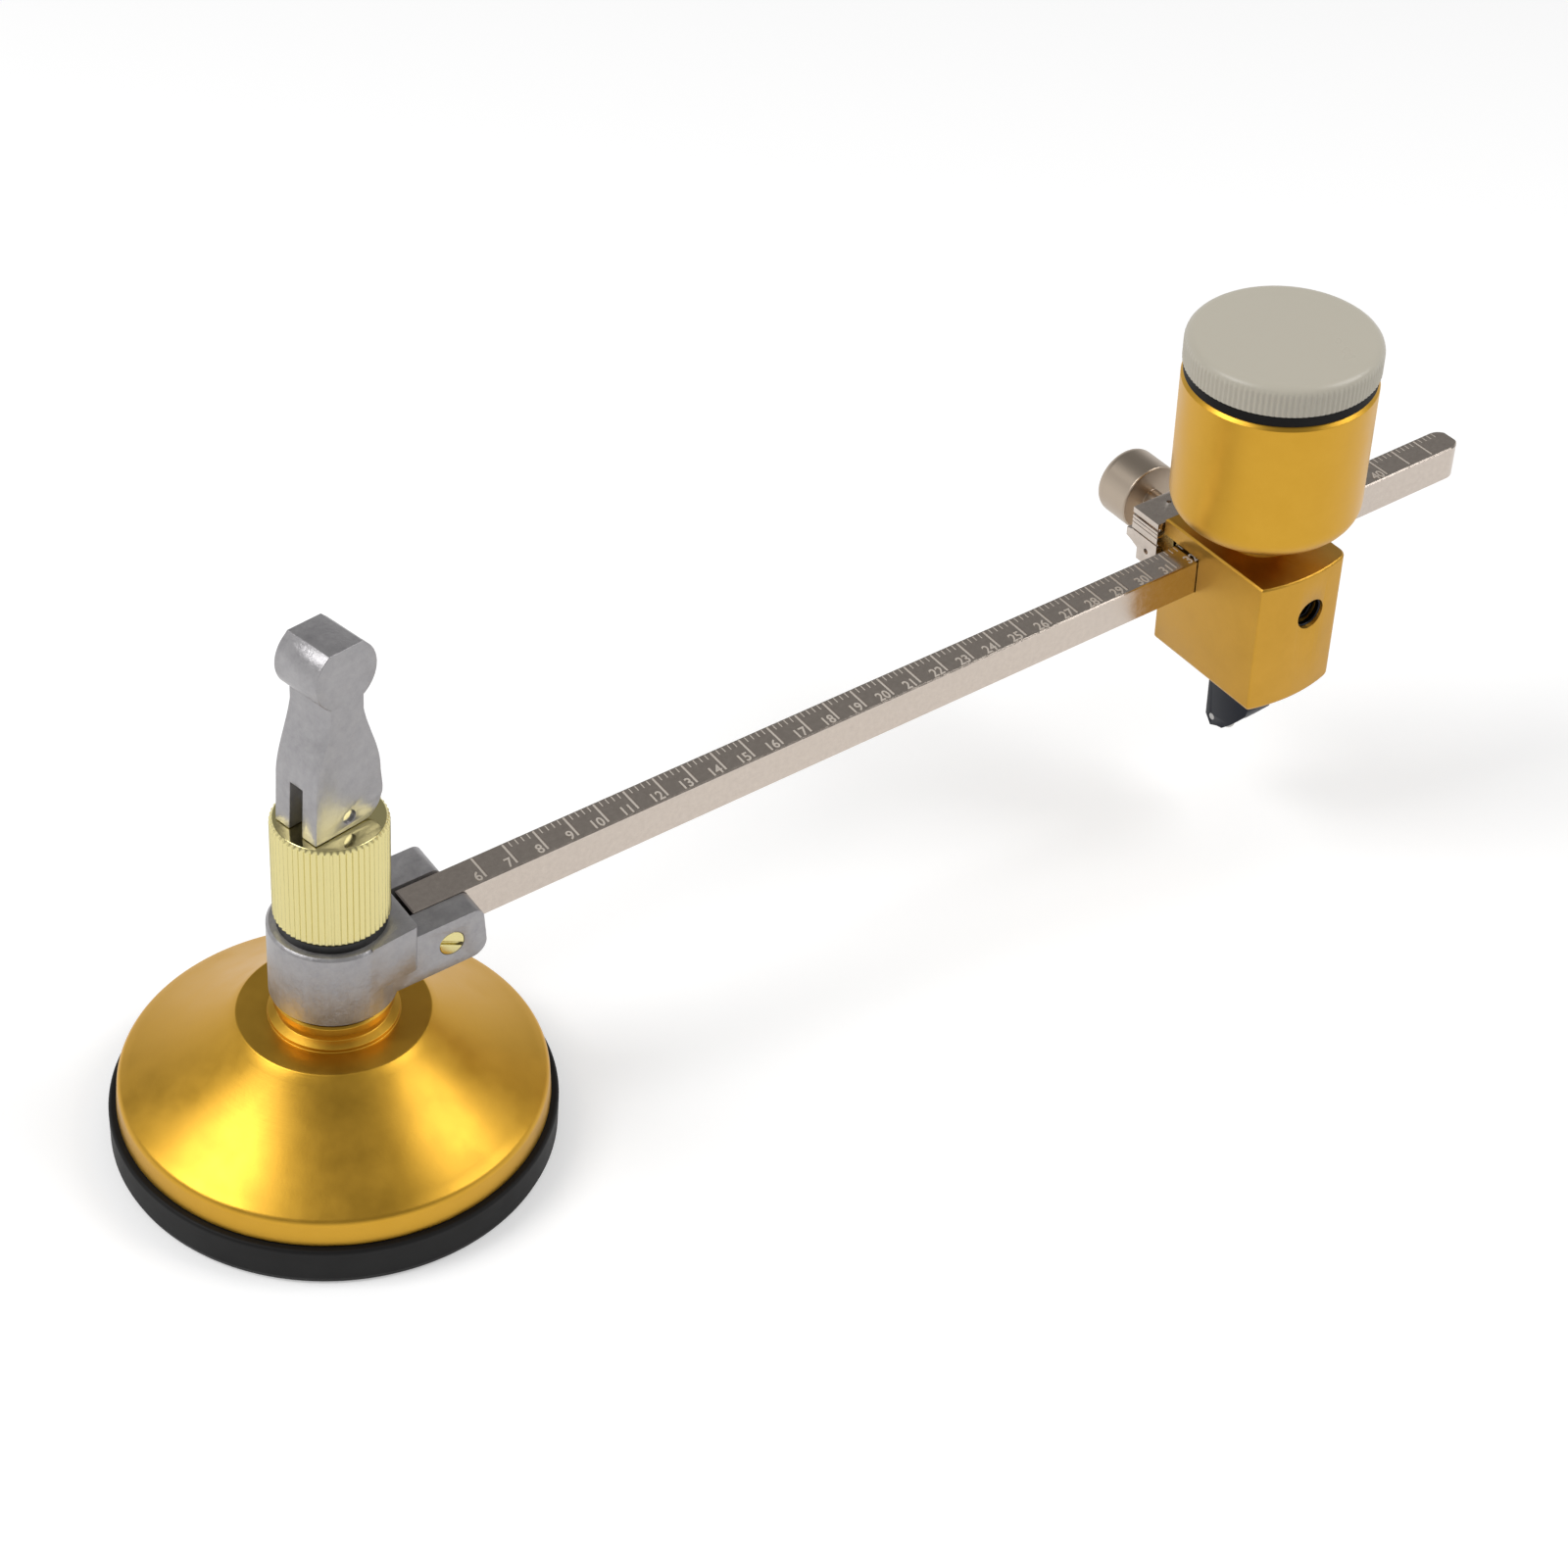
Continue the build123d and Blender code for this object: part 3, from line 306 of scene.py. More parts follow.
def nickel_plate(name, lean):
    """Warm grey plated metal: faint grain drawn out along the bar under a mottled plate."""
    material, tree, shader = new_material(name, "#C9BDB2", metallic=1.0, roughness=0.15)
    place = place_of(tree, (0, 0, 0), lean)
    grain_length_mm, grain_width_mm, mottle_mm, depth_mm = 2.5, 0.2, 0.9, 0.003
    lines = noise(tree, place, (grain_length_mm, grain_width_mm, grain_width_mm))
    mottle = noise(tree, place, (mottle_mm,) * 3, detail=4.0, roughness=0.7)
    relief = add_node(tree, "ShaderNodeMath", {"operation": "ADD"}, i0=lines, i1=mottle).outputs[0]
    give_detail(
        tree, shader, relief, depth_mm, mottle, gloss=(0.12, 0.24), colours=("#B7ABA1", "#D3C8BD")
    )
    return material


def satin_zinc(name):
    """Grey tumbled casting: soft reflections, a fine pebble and uneven stains."""
    material, tree, shader = new_material(name, "#ABA9AB", metallic=0.75, roughness=0.36)
    place = place_of(tree)
    pebble_mm, stain_mm, depth_mm = 0.6, 1.8, 0.06
    pebble = noise(tree, place, (pebble_mm,) * 3, detail=4.0)
    stain = noise(tree, place, (stain_mm,) * 3, detail=5.0, roughness=0.75)
    give_detail(
        tree, shader, pebble, depth_mm, stain, gloss=(0.3, 0.46), colours=("#848286", "#B9B7B7")
    )
    return material


nickel = nickel_plate("nickel_plate_drawn", bar_lean)
zinc = satin_zinc("zinc_casting_tumbled")
print("plated and cast:", nickel.name, zinc.name)

# %% [markdown]
# ## Brass and steel
# The knurled sleeve is turned brass: pale yellow, with the lathe's rings, and a faced top that is
# nearly a mirror. The knob is plated over a turned surface and looks duller than the bar. The
# wheel's holder is blackened steel, which is still a metal, so it keeps a bluish gleam.

# %% Brass and steel


def turned_brass(name, roughness):
    """Pale yellow brass with fine turning rings."""
    material, tree, shader = new_material(name, "#DACF94", metallic=1.0, roughness=roughness)
    feed_mm, depth_mm = 0.3, 0.003
    rings = noise(tree, ring_place(tree, place_of(tree)), (feed_mm, feed_mm, math.inf), detail=2.0)
    give_detail(tree, shader, rings, depth_mm)
    return material


def toothed_metal(name, colour, roughness):
    """Ground, plated or blackened metal: one even colour with a fine tooth."""
    material, tree, shader = new_material(name, colour, metallic=1.0, roughness=roughness)
    tooth_mm, depth_mm = 0.15, 0.003
    give_detail(tree, shader, noise(tree, place_of(tree), (tooth_mm,) * 3, detail=2.0), depth_mm)
    return material


nickel_knob = toothed_metal("nickel_plate_satin_knob", "#B3A595", roughness=0.36)
brass = turned_brass("brass_turned", roughness=0.24)
brass_bright = turned_brass("brass_faced_bright", roughness=0.09)
steel = toothed_metal("steel_ground", "#B4B3B1", roughness=0.3)
black_steel = toothed_metal("steel_blackened", "#2B2D33", roughness=0.38)
print("brass and steel:", brass.name, brass_bright.name, steel.name, black_steel.name)

# %% [markdown]
# ## Rubber, plastic and paint
# The cup is moulded black rubber: not quite black, with a broad weak sheen. The cap is grey
# moulded plastic with the fine matt texture of an eroded mould, and the washers are black nylon.
# The scale's pale marks are filled with enamel, an even paint with a soft gloss. The dark line
# beside each long mark is painted shade, made with the same recipe.

# %% Rubber, plastic and paint


def moulded(name, colour, roughness, grain_mm, depth_mm, **extra):
    """A moulded polymer or paint: one colour, a soft gloss in patches and a fine texture."""
    material, tree, shader = new_material(name, colour, metallic=0.0, roughness=roughness, **extra)
    place = place_of(tree)
    patch_mm, glossier, duller = 12.0, 0.05, 0.06
    texture = noise(tree, place, (grain_mm,) * 3)
    patch = noise(tree, place, (patch_mm,) * 3)
    give_detail(tree, shader, texture, depth_mm, patch, (roughness - glossier, roughness + duller))
    return material


rubber = moulded(
    "rubber_black_moulded", "#0A0909", roughness=0.58, grain_mm=0.5, depth_mm=0.01, Specular_IOR_Level=0.25
)
grey_plastic = moulded("plastic_grey_moulded", "#BDB7A8", roughness=0.32, grain_mm=0.3, depth_mm=0.005)
black_plastic = moulded("nylon_black_moulded", "#0B0B0B", roughness=0.45, grain_mm=0.4, depth_mm=0.006)
seal_rubber = moulded(
    "rubber_black_seal", "#060505", roughness=0.65, grain_mm=0.4, depth_mm=0.006, Specular_IOR_Level=0.2
)
pale_mark = moulded("enamel_pale_in_marks", "#BDB4AA", roughness=0.5, grain_mm=0.2, depth_mm=0.004)
# painted shade: the dark line beside each long mark where the groove's wall is in shadow
painted_shade_mark = moulded("painted_shade_beside_marks", "#6B6057", roughness=0.5, grain_mm=0.2, depth_mm=0.004)
print("polymers and paint:", rubber.name, grey_plastic.name, pale_mark.name)

# %% [markdown]
# ## Outlines of turned pieces
# A lathe makes a shape from one outline and one axis. The outline is a short list of corners, each
# with the radius that the tool leaves on it. A small arc replaces each corner, with one extra
# point just past each end, so that the flats beside it stay flat when the shading is smoothed.

# %% Outlines with rounded corners


def rounded(corners, steps=6):
    """Outline as an array: each corner (r, h, radius) becomes an arc tangent to its two sides.

    With unit vectors a and b towards the neighbours and half the corner's angle t, the arc starts
    and ends radius / tan(t) from the corner, and its centre lies radius / sin(t) along a + b.
    """
    side_share, guard_share = 0.45, 0.12
    points = []
    count = len(corners)
    for i, (r, h, radius) in enumerate(corners):
        here = np.array((r, h), float)
        before = np.array(corners[i - 1][:2], float) - here
        after = np.array(corners[(i + 1) % count][:2], float) - here
        if radius == 0:
            points.append(here)
            continue
        a = before / np.linalg.norm(before)
        b = after / np.linalg.norm(after)
        half = 0.5 * math.acos(max(-1.0, min(1.0, float(a @ b))))
        room = side_share * min(np.linalg.norm(before), np.linalg.norm(after))
        cut = min(radius / math.tan(half), room)
        size = cut * math.tan(half)
        middle = here + (a + b) / np.linalg.norm(a + b) * size / math.sin(half)
        start, end = here + a * cut, here + b * cut
        s, e = start - middle, end - middle
        turn = math.atan2(s[0] * e[1] - s[1] * e[0], float(s @ e))
        angles = np.linspace(0, turn, steps + 1)
        arc = np.stack((
            s[0] * np.cos(angles) - s[1] * np.sin(angles),
            s[0] * np.sin(angles) + s[1] * np.cos(angles),
        ), 1) + middle
        guard = guard_share * size
        points += [start + a * guard, *arc, end + b * guard]
    return np.array(points)


square_turn = rounded([(1.0, 0.0, 0.1), (2.0, 0.0, 0.1), (2.0, 1.0, 0.1), (1.0, 1.0, 0.1)])
print("points round a square ring's outline:", len(square_turn))

# %% [markdown]
# ## Clean meshes
# A computed mesh needs three things before it looks and exports well. Points that fall together,
# as at a pole, are merged. Every face is turned outwards. The shading is smoothed, which is safe
# because the outlines keep a guard point beside each rounded corner.

# %% Clean meshes
closest_gap = 1e-7


def tidy(piece, gap=closest_gap):
    """Merge points closer than a gap in metres, turn every face outwards and smooth the shading."""
    shape = bmesh.new()
    shape.from_mesh(piece.data)
    bmesh.ops.remove_doubles(shape, verts=shape.verts, dist=gap)
    bmesh.ops.dissolve_degenerate(shape, edges=shape.edges, dist=gap)
    bmesh.ops.recalc_face_normals(shape, faces=shape.faces)
    shape.to_mesh(piece.data)
    shape.free()
    piece.data.shade_smooth()


print("points closer than", closest_gap / MM, "mm are merged")

# %% [markdown]
# ## Turned pieces
# A turned surface has two parameters: how far along the outline, and how far round. Both are
# whole arrays, so the surface is one sum. Blender's Spin tool could make it too, but a formula
# lets the radius depend on the angle, which is all that a knurl or a ribbed cap needs.

# %% The lathe


def lathe(name, outline, origin, axis, count, tooth=None):
    """Turn an outline (radius, height in mm) round an axis: r cos t, r sin t and h.

    A closed outline gives a ring; one that starts and ends on the axis gives a solid. With a
    tooth function of the angle, the radius is the smaller of the outline's and the tooth's.
    """
    axis = np.array(axis, float) / np.linalg.norm(axis)
    first = np.cross(axis, (1.0, 0.0, 0.0) if abs(axis[0]) < 0.5 else (0.0, 0.0, 1.0))
    first /= np.linalg.norm(first)
    second = np.cross(axis, first)
    t = np.arange(count) * 2 * math.pi / count
    radius = np.repeat(outline[:, :1], count, 1)
    if tooth is not None:
        radius = np.minimum(radius, tooth(t)[None, :])
    grid = (
        np.array(origin, float)
        + (radius * np.cos(t))[..., None] * first * MM
        + (radius * np.sin(t))[..., None] * second * MM
        + outline[:, 1, None, None] * axis * MM
    )
    solid = outline[0, 0] == 0
    rows = len(outline)
    i = np.arange(rows - 1 if solid else rows)[:, None]
    j = np.arange(count)[None, :]
    near, far = i * count, (i + 1) % rows * count
    ahead = (j + 1) % count
    quads = np.stack((near + j, near + ahead, far + ahead, far + j), -1).reshape(-1, 4)
    mesh = bpy.data.meshes.new(name)
    mesh.from_pydata(grid.reshape(-1, 3), [], quads)
    piece = add_to_scene(name, mesh)
    tidy(piece)
    return piece


print("the lathe turns an outline of points into a surface")

# %% [markdown]
# ## A piece and its place in the tool
# Looks alone don't make a piece part of the tool. It also rides on a body, so that it moves with
# a joint, and it may stand for a plain solid, which is then hidden.

# %% Dressing a piece


def dress(piece, material, body, slot, *replaced):
    """Give a new piece its finish and its body, and let it stand for the nodes that it replaces."""
    piece.data.materials.clear()
    piece.data.materials.append(material)
    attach(piece, body)
    if replaced:
        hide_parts(*replaced)
    print(piece.name, "faces:", len(piece.data.polygons))
    return piece


# %% [markdown]
# ## The dome
# The housing is spun and turned: a narrow rim band, a soft rolled edge, a slightly dished cone,
# a flat ledge, and a neck with a groove that carries the collar. The dish is a shallow parabola
# between the cone's two ends; everything else is straight, with small tool radii.

# %% Dome


def dish(start, end, depth, count=14):
    """Points between two ends on a shallow parabola that sags by depth: chord minus 4 d s (1 - s)."""
    s = np.linspace(0, 1, count + 2)[1:-1, None]
    start, end = np.array(start, float), np.array(end, float)
    side = np.array((end[1] - start[1], start[0] - end[0])) / np.linalg.norm(end - start)
    return start + (end - start) * s + side * depth * 4 * s * (1 - s)


rim_r, rim_inner_r, rim_z = 30.7, 27.4, 6.1
crease_r, crease_z = 30.4, 10.1
ledge_r, ledge_z, cone_dip = 13.55, 21.5, 0.7
step_r, step_z = 9.2, 22.1
groove_r, groove_low, groove_high = 8.0, 22.6, 23.6
neck_r, neck_low, neck_high = 8.4, 23.9, 25.0
neck_face_r, neck_top = 8.1, 25.3
post_r, roof_r, roof_z, skirt_z = 5.5, 11.4, 19.3, 7.9
edge = rounded([
    (rim_inner_r, rim_z, 0.2), (rim_r, rim_z, 0.25), (crease_r, crease_z, 1.2), (ledge_r, ledge_z, 0.45),
    (step_r, ledge_z, 0.12), (step_r, step_z, 0.12), (groove_r, groove_low, 0.15),
    (groove_r, groove_high, 0.15), (neck_r, neck_low, 0.15), (neck_r, neck_high, 0.15),
    (neck_face_r, neck_top, 0.1), (post_r, neck_top, 0.1), (post_r, roof_z, 0.1),
    (roof_r, roof_z, 0.3), (rim_inner_r, skirt_z, 0.3),
])
half_arc_points, mid_cone_r = 4, 20
crease_point = int(np.argmin(np.abs(edge - np.array((crease_r, crease_z))).sum(1)))
cone_end = next(i for i in range(crease_point + half_arc_points, len(edge)) if edge[i, 0] < mid_cone_r)
cone = dish(edge[cone_end - 1], edge[cone_end], -cone_dip)
dome_outline = np.vstack((edge[:cone_end], cone, edge[cone_end:]))
dome = lathe("dome_shell", dome_outline, (0, 0, 0), upright_axis, count=256)
dress(dome, gold_dome, "root", "gold_anodised", "dome_housing")

# %% [markdown]
# ## The rubber cup
# A moulded disc with soft edges, a boss that grips the pull rod, and a shallow hollow underneath.
# The hollow follows a sphere, so the outline begins with a circle's arc, worked out from the lip's
# radius and the hollow's depth.

# %% Suction cup
lip_r, hollow_mm = 27.5, 2.2
foot_r, cup_r, bulge_z, cup_top = 31.4, 31.8, 1.0, 6.1
lip_inner_r, web_r, web_z = 27.2, 25.6, 4.8
boss_r, boss_top, rod_r = 10.0, 10.2, 3.05
pocket_r, pocket_low, pocket_high = 8.05, 6.45, 8.35
pole_r, hollow_points = 0.5, 20
bend = (lip_r**2 + hollow_mm**2) / (2 * hollow_mm)
sweep = np.linspace(0, math.asin(lip_r / bend), hollow_points)[:-1]
hollow = np.stack((bend * np.sin(sweep), hollow_mm - bend + bend * np.cos(sweep)), 1)
cup_edge = rounded([
    (lip_r, 0.0, 0.15), (foot_r, 0.0, 0.3), (cup_r, bulge_z, 0.7), (cup_r, cup_top, 0.5),
    (lip_inner_r, cup_top, 0.2), (web_r, web_z, 0.3), (boss_r, web_z, 0.4), (boss_r, boss_top, 0.4),
    (rod_r, boss_top, 0.1), (rod_r, pocket_high, 0.1), (pocket_r, pocket_high, 0.1),
    (pocket_r, pocket_low, 0.1), (pole_r, pocket_low, 0.0), (0.0, pocket_low, 0.0),
])
cup = lathe("suction_disc", np.vstack((hollow, cup_edge)), (0, 0, 0), upright_axis, count=224)
dress(cup, rubber, "root", "black_rubber", "suction_cup")

# %% [markdown]
# ## The return spring
# Inside the dome a coil spring pushes the cup's middle back down on the glass. It is a wire
# carried along a helix. When the lever tips, the rod rises and the spring grows shorter towards
# its upper seat.

# %% Return spring


def coil(name, mean_r, wire_r, low, high, turns, steps=40, sides=12):
    """Wire along a helix, in mm.

    At angle a the wire's centre is (R cos a, R sin a, low + wire + rise a), and the ring of points
    round it is that centre plus wire cos b along the radius and wire sin b along the axis.
    """
    a = np.linspace(0, turns * 2 * math.pi, turns * steps + 1)[:, None]
    b = np.arange(sides)[None, :] * 2 * math.pi / sides
    radius = mean_r + wire_r * np.cos(b)
    height = low + wire_r + (high - low - 2 * wire_r) * a / a[-1] + wire_r * np.sin(b)
    grid = np.stack((radius * np.cos(a), radius * np.sin(a), height), -1) * MM
    i = np.arange(len(a) - 1)[:, None] * sides
    j, ahead = np.arange(sides)[None, :], (np.arange(sides)[None, :] + 1) % sides
    quads = np.stack((i + j, i + ahead, i + sides + ahead, i + sides + j), -1).reshape(-1, 4)
    last = (len(a) - 1) * sides
    ends = [list(range(sides)), list(range(last, last + sides))]
    mesh = bpy.data.meshes.new(name)
    mesh.from_pydata(grid.reshape(-1, 3), [], [*quads.tolist(), *ends])
    piece = add_to_scene(name, mesh)
    tidy(piece)
    return piece


spring_r, wire_r, spring_turns = 5.45, 0.42, 5
spring_low, spring_high = reach_mm("return_spring", upright_axis)
spring = coil("spring_coil", spring_r, wire_r, spring_low, spring_high, spring_turns)
dress(spring, steel, "root", "plain_steel", "return_spring")
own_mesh(spring)

# %% [markdown]
# ## The knurled sleeve
# Straight knurling presses V grooves into the sleeve's side. Round a turned outline, that is
# the smaller of two radii: the outline's, and a saw wave's that falls by the knurl's depth
# between teeth. The grooves then run out by themselves where the edges are bevelled.

# %% Knurled sleeve


def teeth(radius, depth, count, share=0.8):
    """Radius against angle: radius less a triangle wave of the given depth; share of it is flank."""
    def wave(t):
        saw = np.abs((t * count / (2 * math.pi)) % 1 * 2 - 1)
        return radius - depth * np.clip(saw / share, 0, 1)
    return wave


sleeve_low, sleeve_high = reach_mm("knurled_sleeve", upright_axis)
sleeve_r, sleeve_bore_r, bevel_mm, lid_t = 8.0, 5.55, 0.5, 3.05
knurl_count, knurl_depth, points_per_tooth = 57, 0.28, 8
knurl_points = knurl_count * points_per_tooth
sleeve_outline = rounded([
    (sleeve_bore_r, sleeve_low, 0.1), (sleeve_r - bevel_mm, sleeve_low, 0.1),
    (sleeve_r, sleeve_low + bevel_mm, 0.15), (sleeve_r, sleeve_high - bevel_mm, 0.15),
    (sleeve_r - bevel_mm, sleeve_high, 0.15), (rod_r, sleeve_high, 0.1),
    (rod_r, sleeve_high - lid_t, 0.1), (sleeve_bore_r, sleeve_high - lid_t, 0.2),
])
knurl = teeth(sleeve_r, knurl_depth, knurl_count)
sleeve = lathe("sleeve_knurled", sleeve_outline, (0, 0, 0), upright_axis, knurl_points, knurl)
dress(sleeve, brass, "sleeve", "bright_brass", "knurled_sleeve")
sleeve.data.materials.append(brass_bright)
face_slack = 0.05
is_top = [face.center.z > (sleeve_high - face_slack) * MM for face in sleeve.data.polygons]
sleeve.data.polygons.foreach_set("material_index", np.array(is_top, np.int32))

# %% [markdown]
# ## The handle
# A round barrel turns on the head, closed by a black seal and a grey cap. All three share the
# handle's axis, so they are outlines round the same line, and their ends come from the solids.
# The barrel's foot has a large radius, and its well is open at the top.

# %% Barrel and seal
axis_foot = handle_centre - up * (handle_centre @ up)
barrel_low, barrel_high = reach_mm("handle_barrel", up)
seal_low, seal_high = reach_mm("cap_seal", up)
barrel_r, barrel_lip, foot_round = 15.0, 0.6, 4.2
axle_hole_r, well_r, barrel_floor = 4.2, 11.4, 9.3
seal_inner_r, seal_r = 11.45, 14.7
barrel_outline = rounded([
    (axle_hole_r, barrel_low, 0.1), (barrel_r, barrel_low, foot_round),
    (barrel_r, barrel_high - barrel_lip, 0.15), (barrel_r - barrel_lip, barrel_high, 0.15),
    (well_r, barrel_high, 0.3), (well_r, barrel_low + barrel_floor, 0.8),
    (axle_hole_r, barrel_low + barrel_floor, 0.1),
], steps=12)
barrel = lathe("barrel_shell", barrel_outline, axis_foot, up, count=224)
dress(barrel, gold_barrel, "barrel", "gold_anodised", "handle_barrel")
seal_outline = rounded([
    (seal_inner_r, seal_low, 0.2), (seal_r, seal_low, 0.3), (seal_r, seal_high, 0.3),
    (seal_inner_r, seal_high, 0.2),
])
seal = lathe("seal_ring", seal_outline, axis_foot, up, count=160)
dress(seal, seal_rubber, "barrel", "black_rubber", "cap_seal")

# %% [markdown]
# ## The cap
# The cap is a moulded lid with fine upright ribs for the fingers and a hollow plug that goes down
# the barrel's well. Its top is crowned by less than a fifth of a millimetre, which keeps the
# reflection on it from looking like a mirror's. The crown is a circle's arc, as the cup's hollow is.

# %% Ribbed cap
cap_low, cap_high = reach_mm("barrel_cap", up)
crown_r, crown_rise, crown_slack, crown_points = 11.2, 0.18, 0.05, 16
cap_round, shoulder_drop, cap_t = 1.6, 0.25, 1.6
plug_r, plug_inner_r = 11.3, 9.7
rib_count, rib_depth, points_per_rib = 110, 0.22, 6
crown_bend = (crown_r**2 + crown_rise**2) / (2 * crown_rise)
crown_sweep = np.linspace(0, math.asin(crown_r / crown_bend), crown_points)[:-1]
crown_top = cap_high - crown_slack
crown_heights = crown_top - crown_bend + crown_bend * np.cos(crown_sweep)
crown = np.stack((crown_bend * np.sin(crown_sweep), crown_heights), 1)
ceiling = seal_high + cap_t
cap_outline = np.vstack((crown, rounded([
    (crown_r, crown_top - crown_rise, 0.0), (barrel_r, crown_top - shoulder_drop, cap_round),
    (barrel_r, seal_high, 0.2), (plug_r, seal_high, 0.1), (plug_r, cap_low, 0.3),
    (plug_inner_r, cap_low, 0.3), (plug_inner_r, ceiling, 0.6), (pole_r, ceiling, 0.0), (0.0, ceiling, 0.0),
])))
ribs = teeth(barrel_r, rib_depth, rib_count, share=1.0)
cap = lathe("cap_ribbed", cap_outline, axis_foot, up, rib_count * points_per_rib, ribs)
dress(cap, grey_plastic, "cap", "grey_plastic", "barrel_cap")

# %% [markdown]
# ## The thumb screw
# A plain nickel knob with a large rounded outer edge, on a shank that runs into the bridge. Its
# axis lies across the bar, so the same lathe turns it about another line.

# %% Thumb screw
screw_place = np.array(joints["clamp_turn"]["pos_m"], float)
screw_foot = screw_place - across * (screw_place @ across)
screw_tip, screw_end = reach_mm("clamp_screw", across)
knob_r, knob_t, knob_round, shank_r = 5.85, 7.6, 1.6, 1.7
knob_outline = rounded([
    (0.0, screw_tip, 0.0), (pole_r, screw_tip, 0.0), (shank_r, screw_tip, 0.2),
    (shank_r, screw_end - knob_t, 0.1), (knob_r, screw_end - knob_t, 0.35),
    (knob_r, screw_end, knob_round), (pole_r, screw_end, 0.0), (0.0, screw_end, 0.0),
], steps=8)
thumb = lathe("thumb_screw", knob_outline, screw_foot, across, count=128)
dress(thumb, nickel_knob, "clamp_knob", "nickel_plate", "clamp_screw")

# %% [markdown]
# ## Cast and milled pieces
# The bracket, the lever, the block and the clamp are exact solids with knife edges. No real
# casting has those: tumbling rounds them, and each rounded edge catches a thin line of light.
# A copy of each solid is merged, its flats are made whole, and a Bevel modifier rounds the edges
# that turn sharply. Hardened normals keep the flats flat right up to the rounding.

# %% Softened copies


def softened(node, name, width_mm):
    """A copy of a node's solid, merged, with flats made whole and edges rounded by a width."""
    merge_mm, flat_deg, sharp_deg = 0.002, 0.6, 32.0
    mesh = nodes[node].data.copy()
    mesh.name = name
    piece = add_to_scene(name, mesh)
    shape = bmesh.new()
    shape.from_mesh(mesh)
    bmesh.ops.remove_doubles(shape, verts=shape.verts, dist=merge_mm * MM)
    flat = math.radians(flat_deg)
    bmesh.ops.dissolve_limit(shape, angle_limit=flat, verts=shape.verts, edges=shape.edges)
    bmesh.ops.recalc_face_normals(shape, faces=shape.faces)
    shape.to_mesh(mesh)
    shape.free()
    mesh.shade_smooth()
    bevel = piece.modifiers.new("edges", "BEVEL")
    bevel.width = width_mm * MM
    bevel.segments = 2
    bevel.limit_method = "ANGLE"
    bevel.angle_limit = math.radians(sharp_deg)
    bevel.harden_normals = True
    return piece


for node, name, width_mm, material, body in (
    ("cam_lever", "lever_cast", 0.28, zinc, "lever"),
    ("collar_bracket", "bracket_cast", 0.22, zinc, "arm"),
    ("cutter_block", "block_milled", 0.28, gold_block, "head"),
    ("clamp_bridge", "bridge_plated", 0.06, nickel, "head"),
    ("wheel_holder", "holder_blackened", 0.2, black_steel, "holder"),
    ("hinge_screw", "screw_slotted", 0.12, brass, "arm"),
    ("grub_screw", "grub_hex", 0.1, black_steel, "head"),
):
    dress(softened(node, name, width_mm), material, body, slot_of[node], node)

# %% [markdown]
# ## The thread in the block
# The grub screw sits deep in its hole, and the hole's mouth shows a few turns of thread. A thread
# is a helix, but at half a millimetre a turn nobody sees its slope, so closed rings stand for it:
# an outline that goes in and out by the thread's depth, turned about the screw's axis. The rings
# are given blackened steel rather than the block's gold, which paints the shade deep in the hole.

# %% Thread
thread_mouth, thread_end, thread_pitch = -18.2, -17.0, 0.5
crest_r, root_r, thread_wall_r = 2.3, 2.52, 2.62
grub_middle = np.array(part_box("grub_screw")).mean(0)
grub_foot = grub_middle - across * (grub_middle @ across)
flanks = np.arange(thread_mouth, thread_end, thread_pitch / 2)
inner = np.stack((np.where(np.arange(len(flanks)) % 2, crest_r, root_r), flanks), 1)
outer = np.array([(thread_wall_r, flanks[-1]), (thread_wall_r, flanks[0])])
thread = lathe("grub_thread_painted_shade", np.vstack((inner, outer)), grub_foot, across, count=64)
# painted shade: the block's own thread is coloured as blackened steel to darken the hole
dress(thread, black_steel, "head", "black_steel")

# %% [markdown]
# ## The scale's marks
# Long marks stand five millimetres apart, one centimetre of circle diameter each, with a comb of
# fine marks every millimetre along the far edge, at the long marks' places too. The long grooves
# are cut in the solid, and a pale filling comes up to a hair above their rims. Beside each lies a
# thin dark line of painted shade, where the groove's wall is in shadow. The marks are rows of
# boxes, in one mesh each, so that they stay crisp however near the camera comes.

# %% Rows of boxes


def row_of_boxes(name, starts, size_uyw, low_yw):
    """One mesh of equal boxes: corner (a, b, c) of box k lies at start k + a, b, c times the size."""
    corner = np.array([(a, b, c) for a in (0, 1) for b in (0, 1) for c in (0, 1)], float)
    u = starts[:, None] + corner[:, 0] * size_uyw[0]
    y = np.broadcast_to(low_yw[0] + corner[:, 1] * size_uyw[1], u.shape)
    w = np.broadcast_to(low_yw[1] + corner[:, 2] * size_uyw[2], u.shape)
    points = bar_zero + (u[..., None] * out + y[..., None] * across + w[..., None] * up) * MM
    sides = np.array([(0, 1, 3, 2), (4, 6, 7, 5), (0, 4, 5, 1), (2, 3, 7, 6), (0, 2, 6, 4), (1, 5, 7, 3)])
    faces = (np.arange(len(starts))[:, None, None] * 8 + sides).reshape(-1, 4)
    mesh = bpy.data.meshes.new(name)
    mesh.from_pydata(points.reshape(-1, 3), [], faces)
    piece = add_to_scene(name, mesh)
    shape = bmesh.new()
    shape.from_mesh(mesh)
    bmesh.ops.recalc_face_normals(shape, faces=shape.faces)
    shape.to_mesh(mesh)
    shape.free()
    return piece


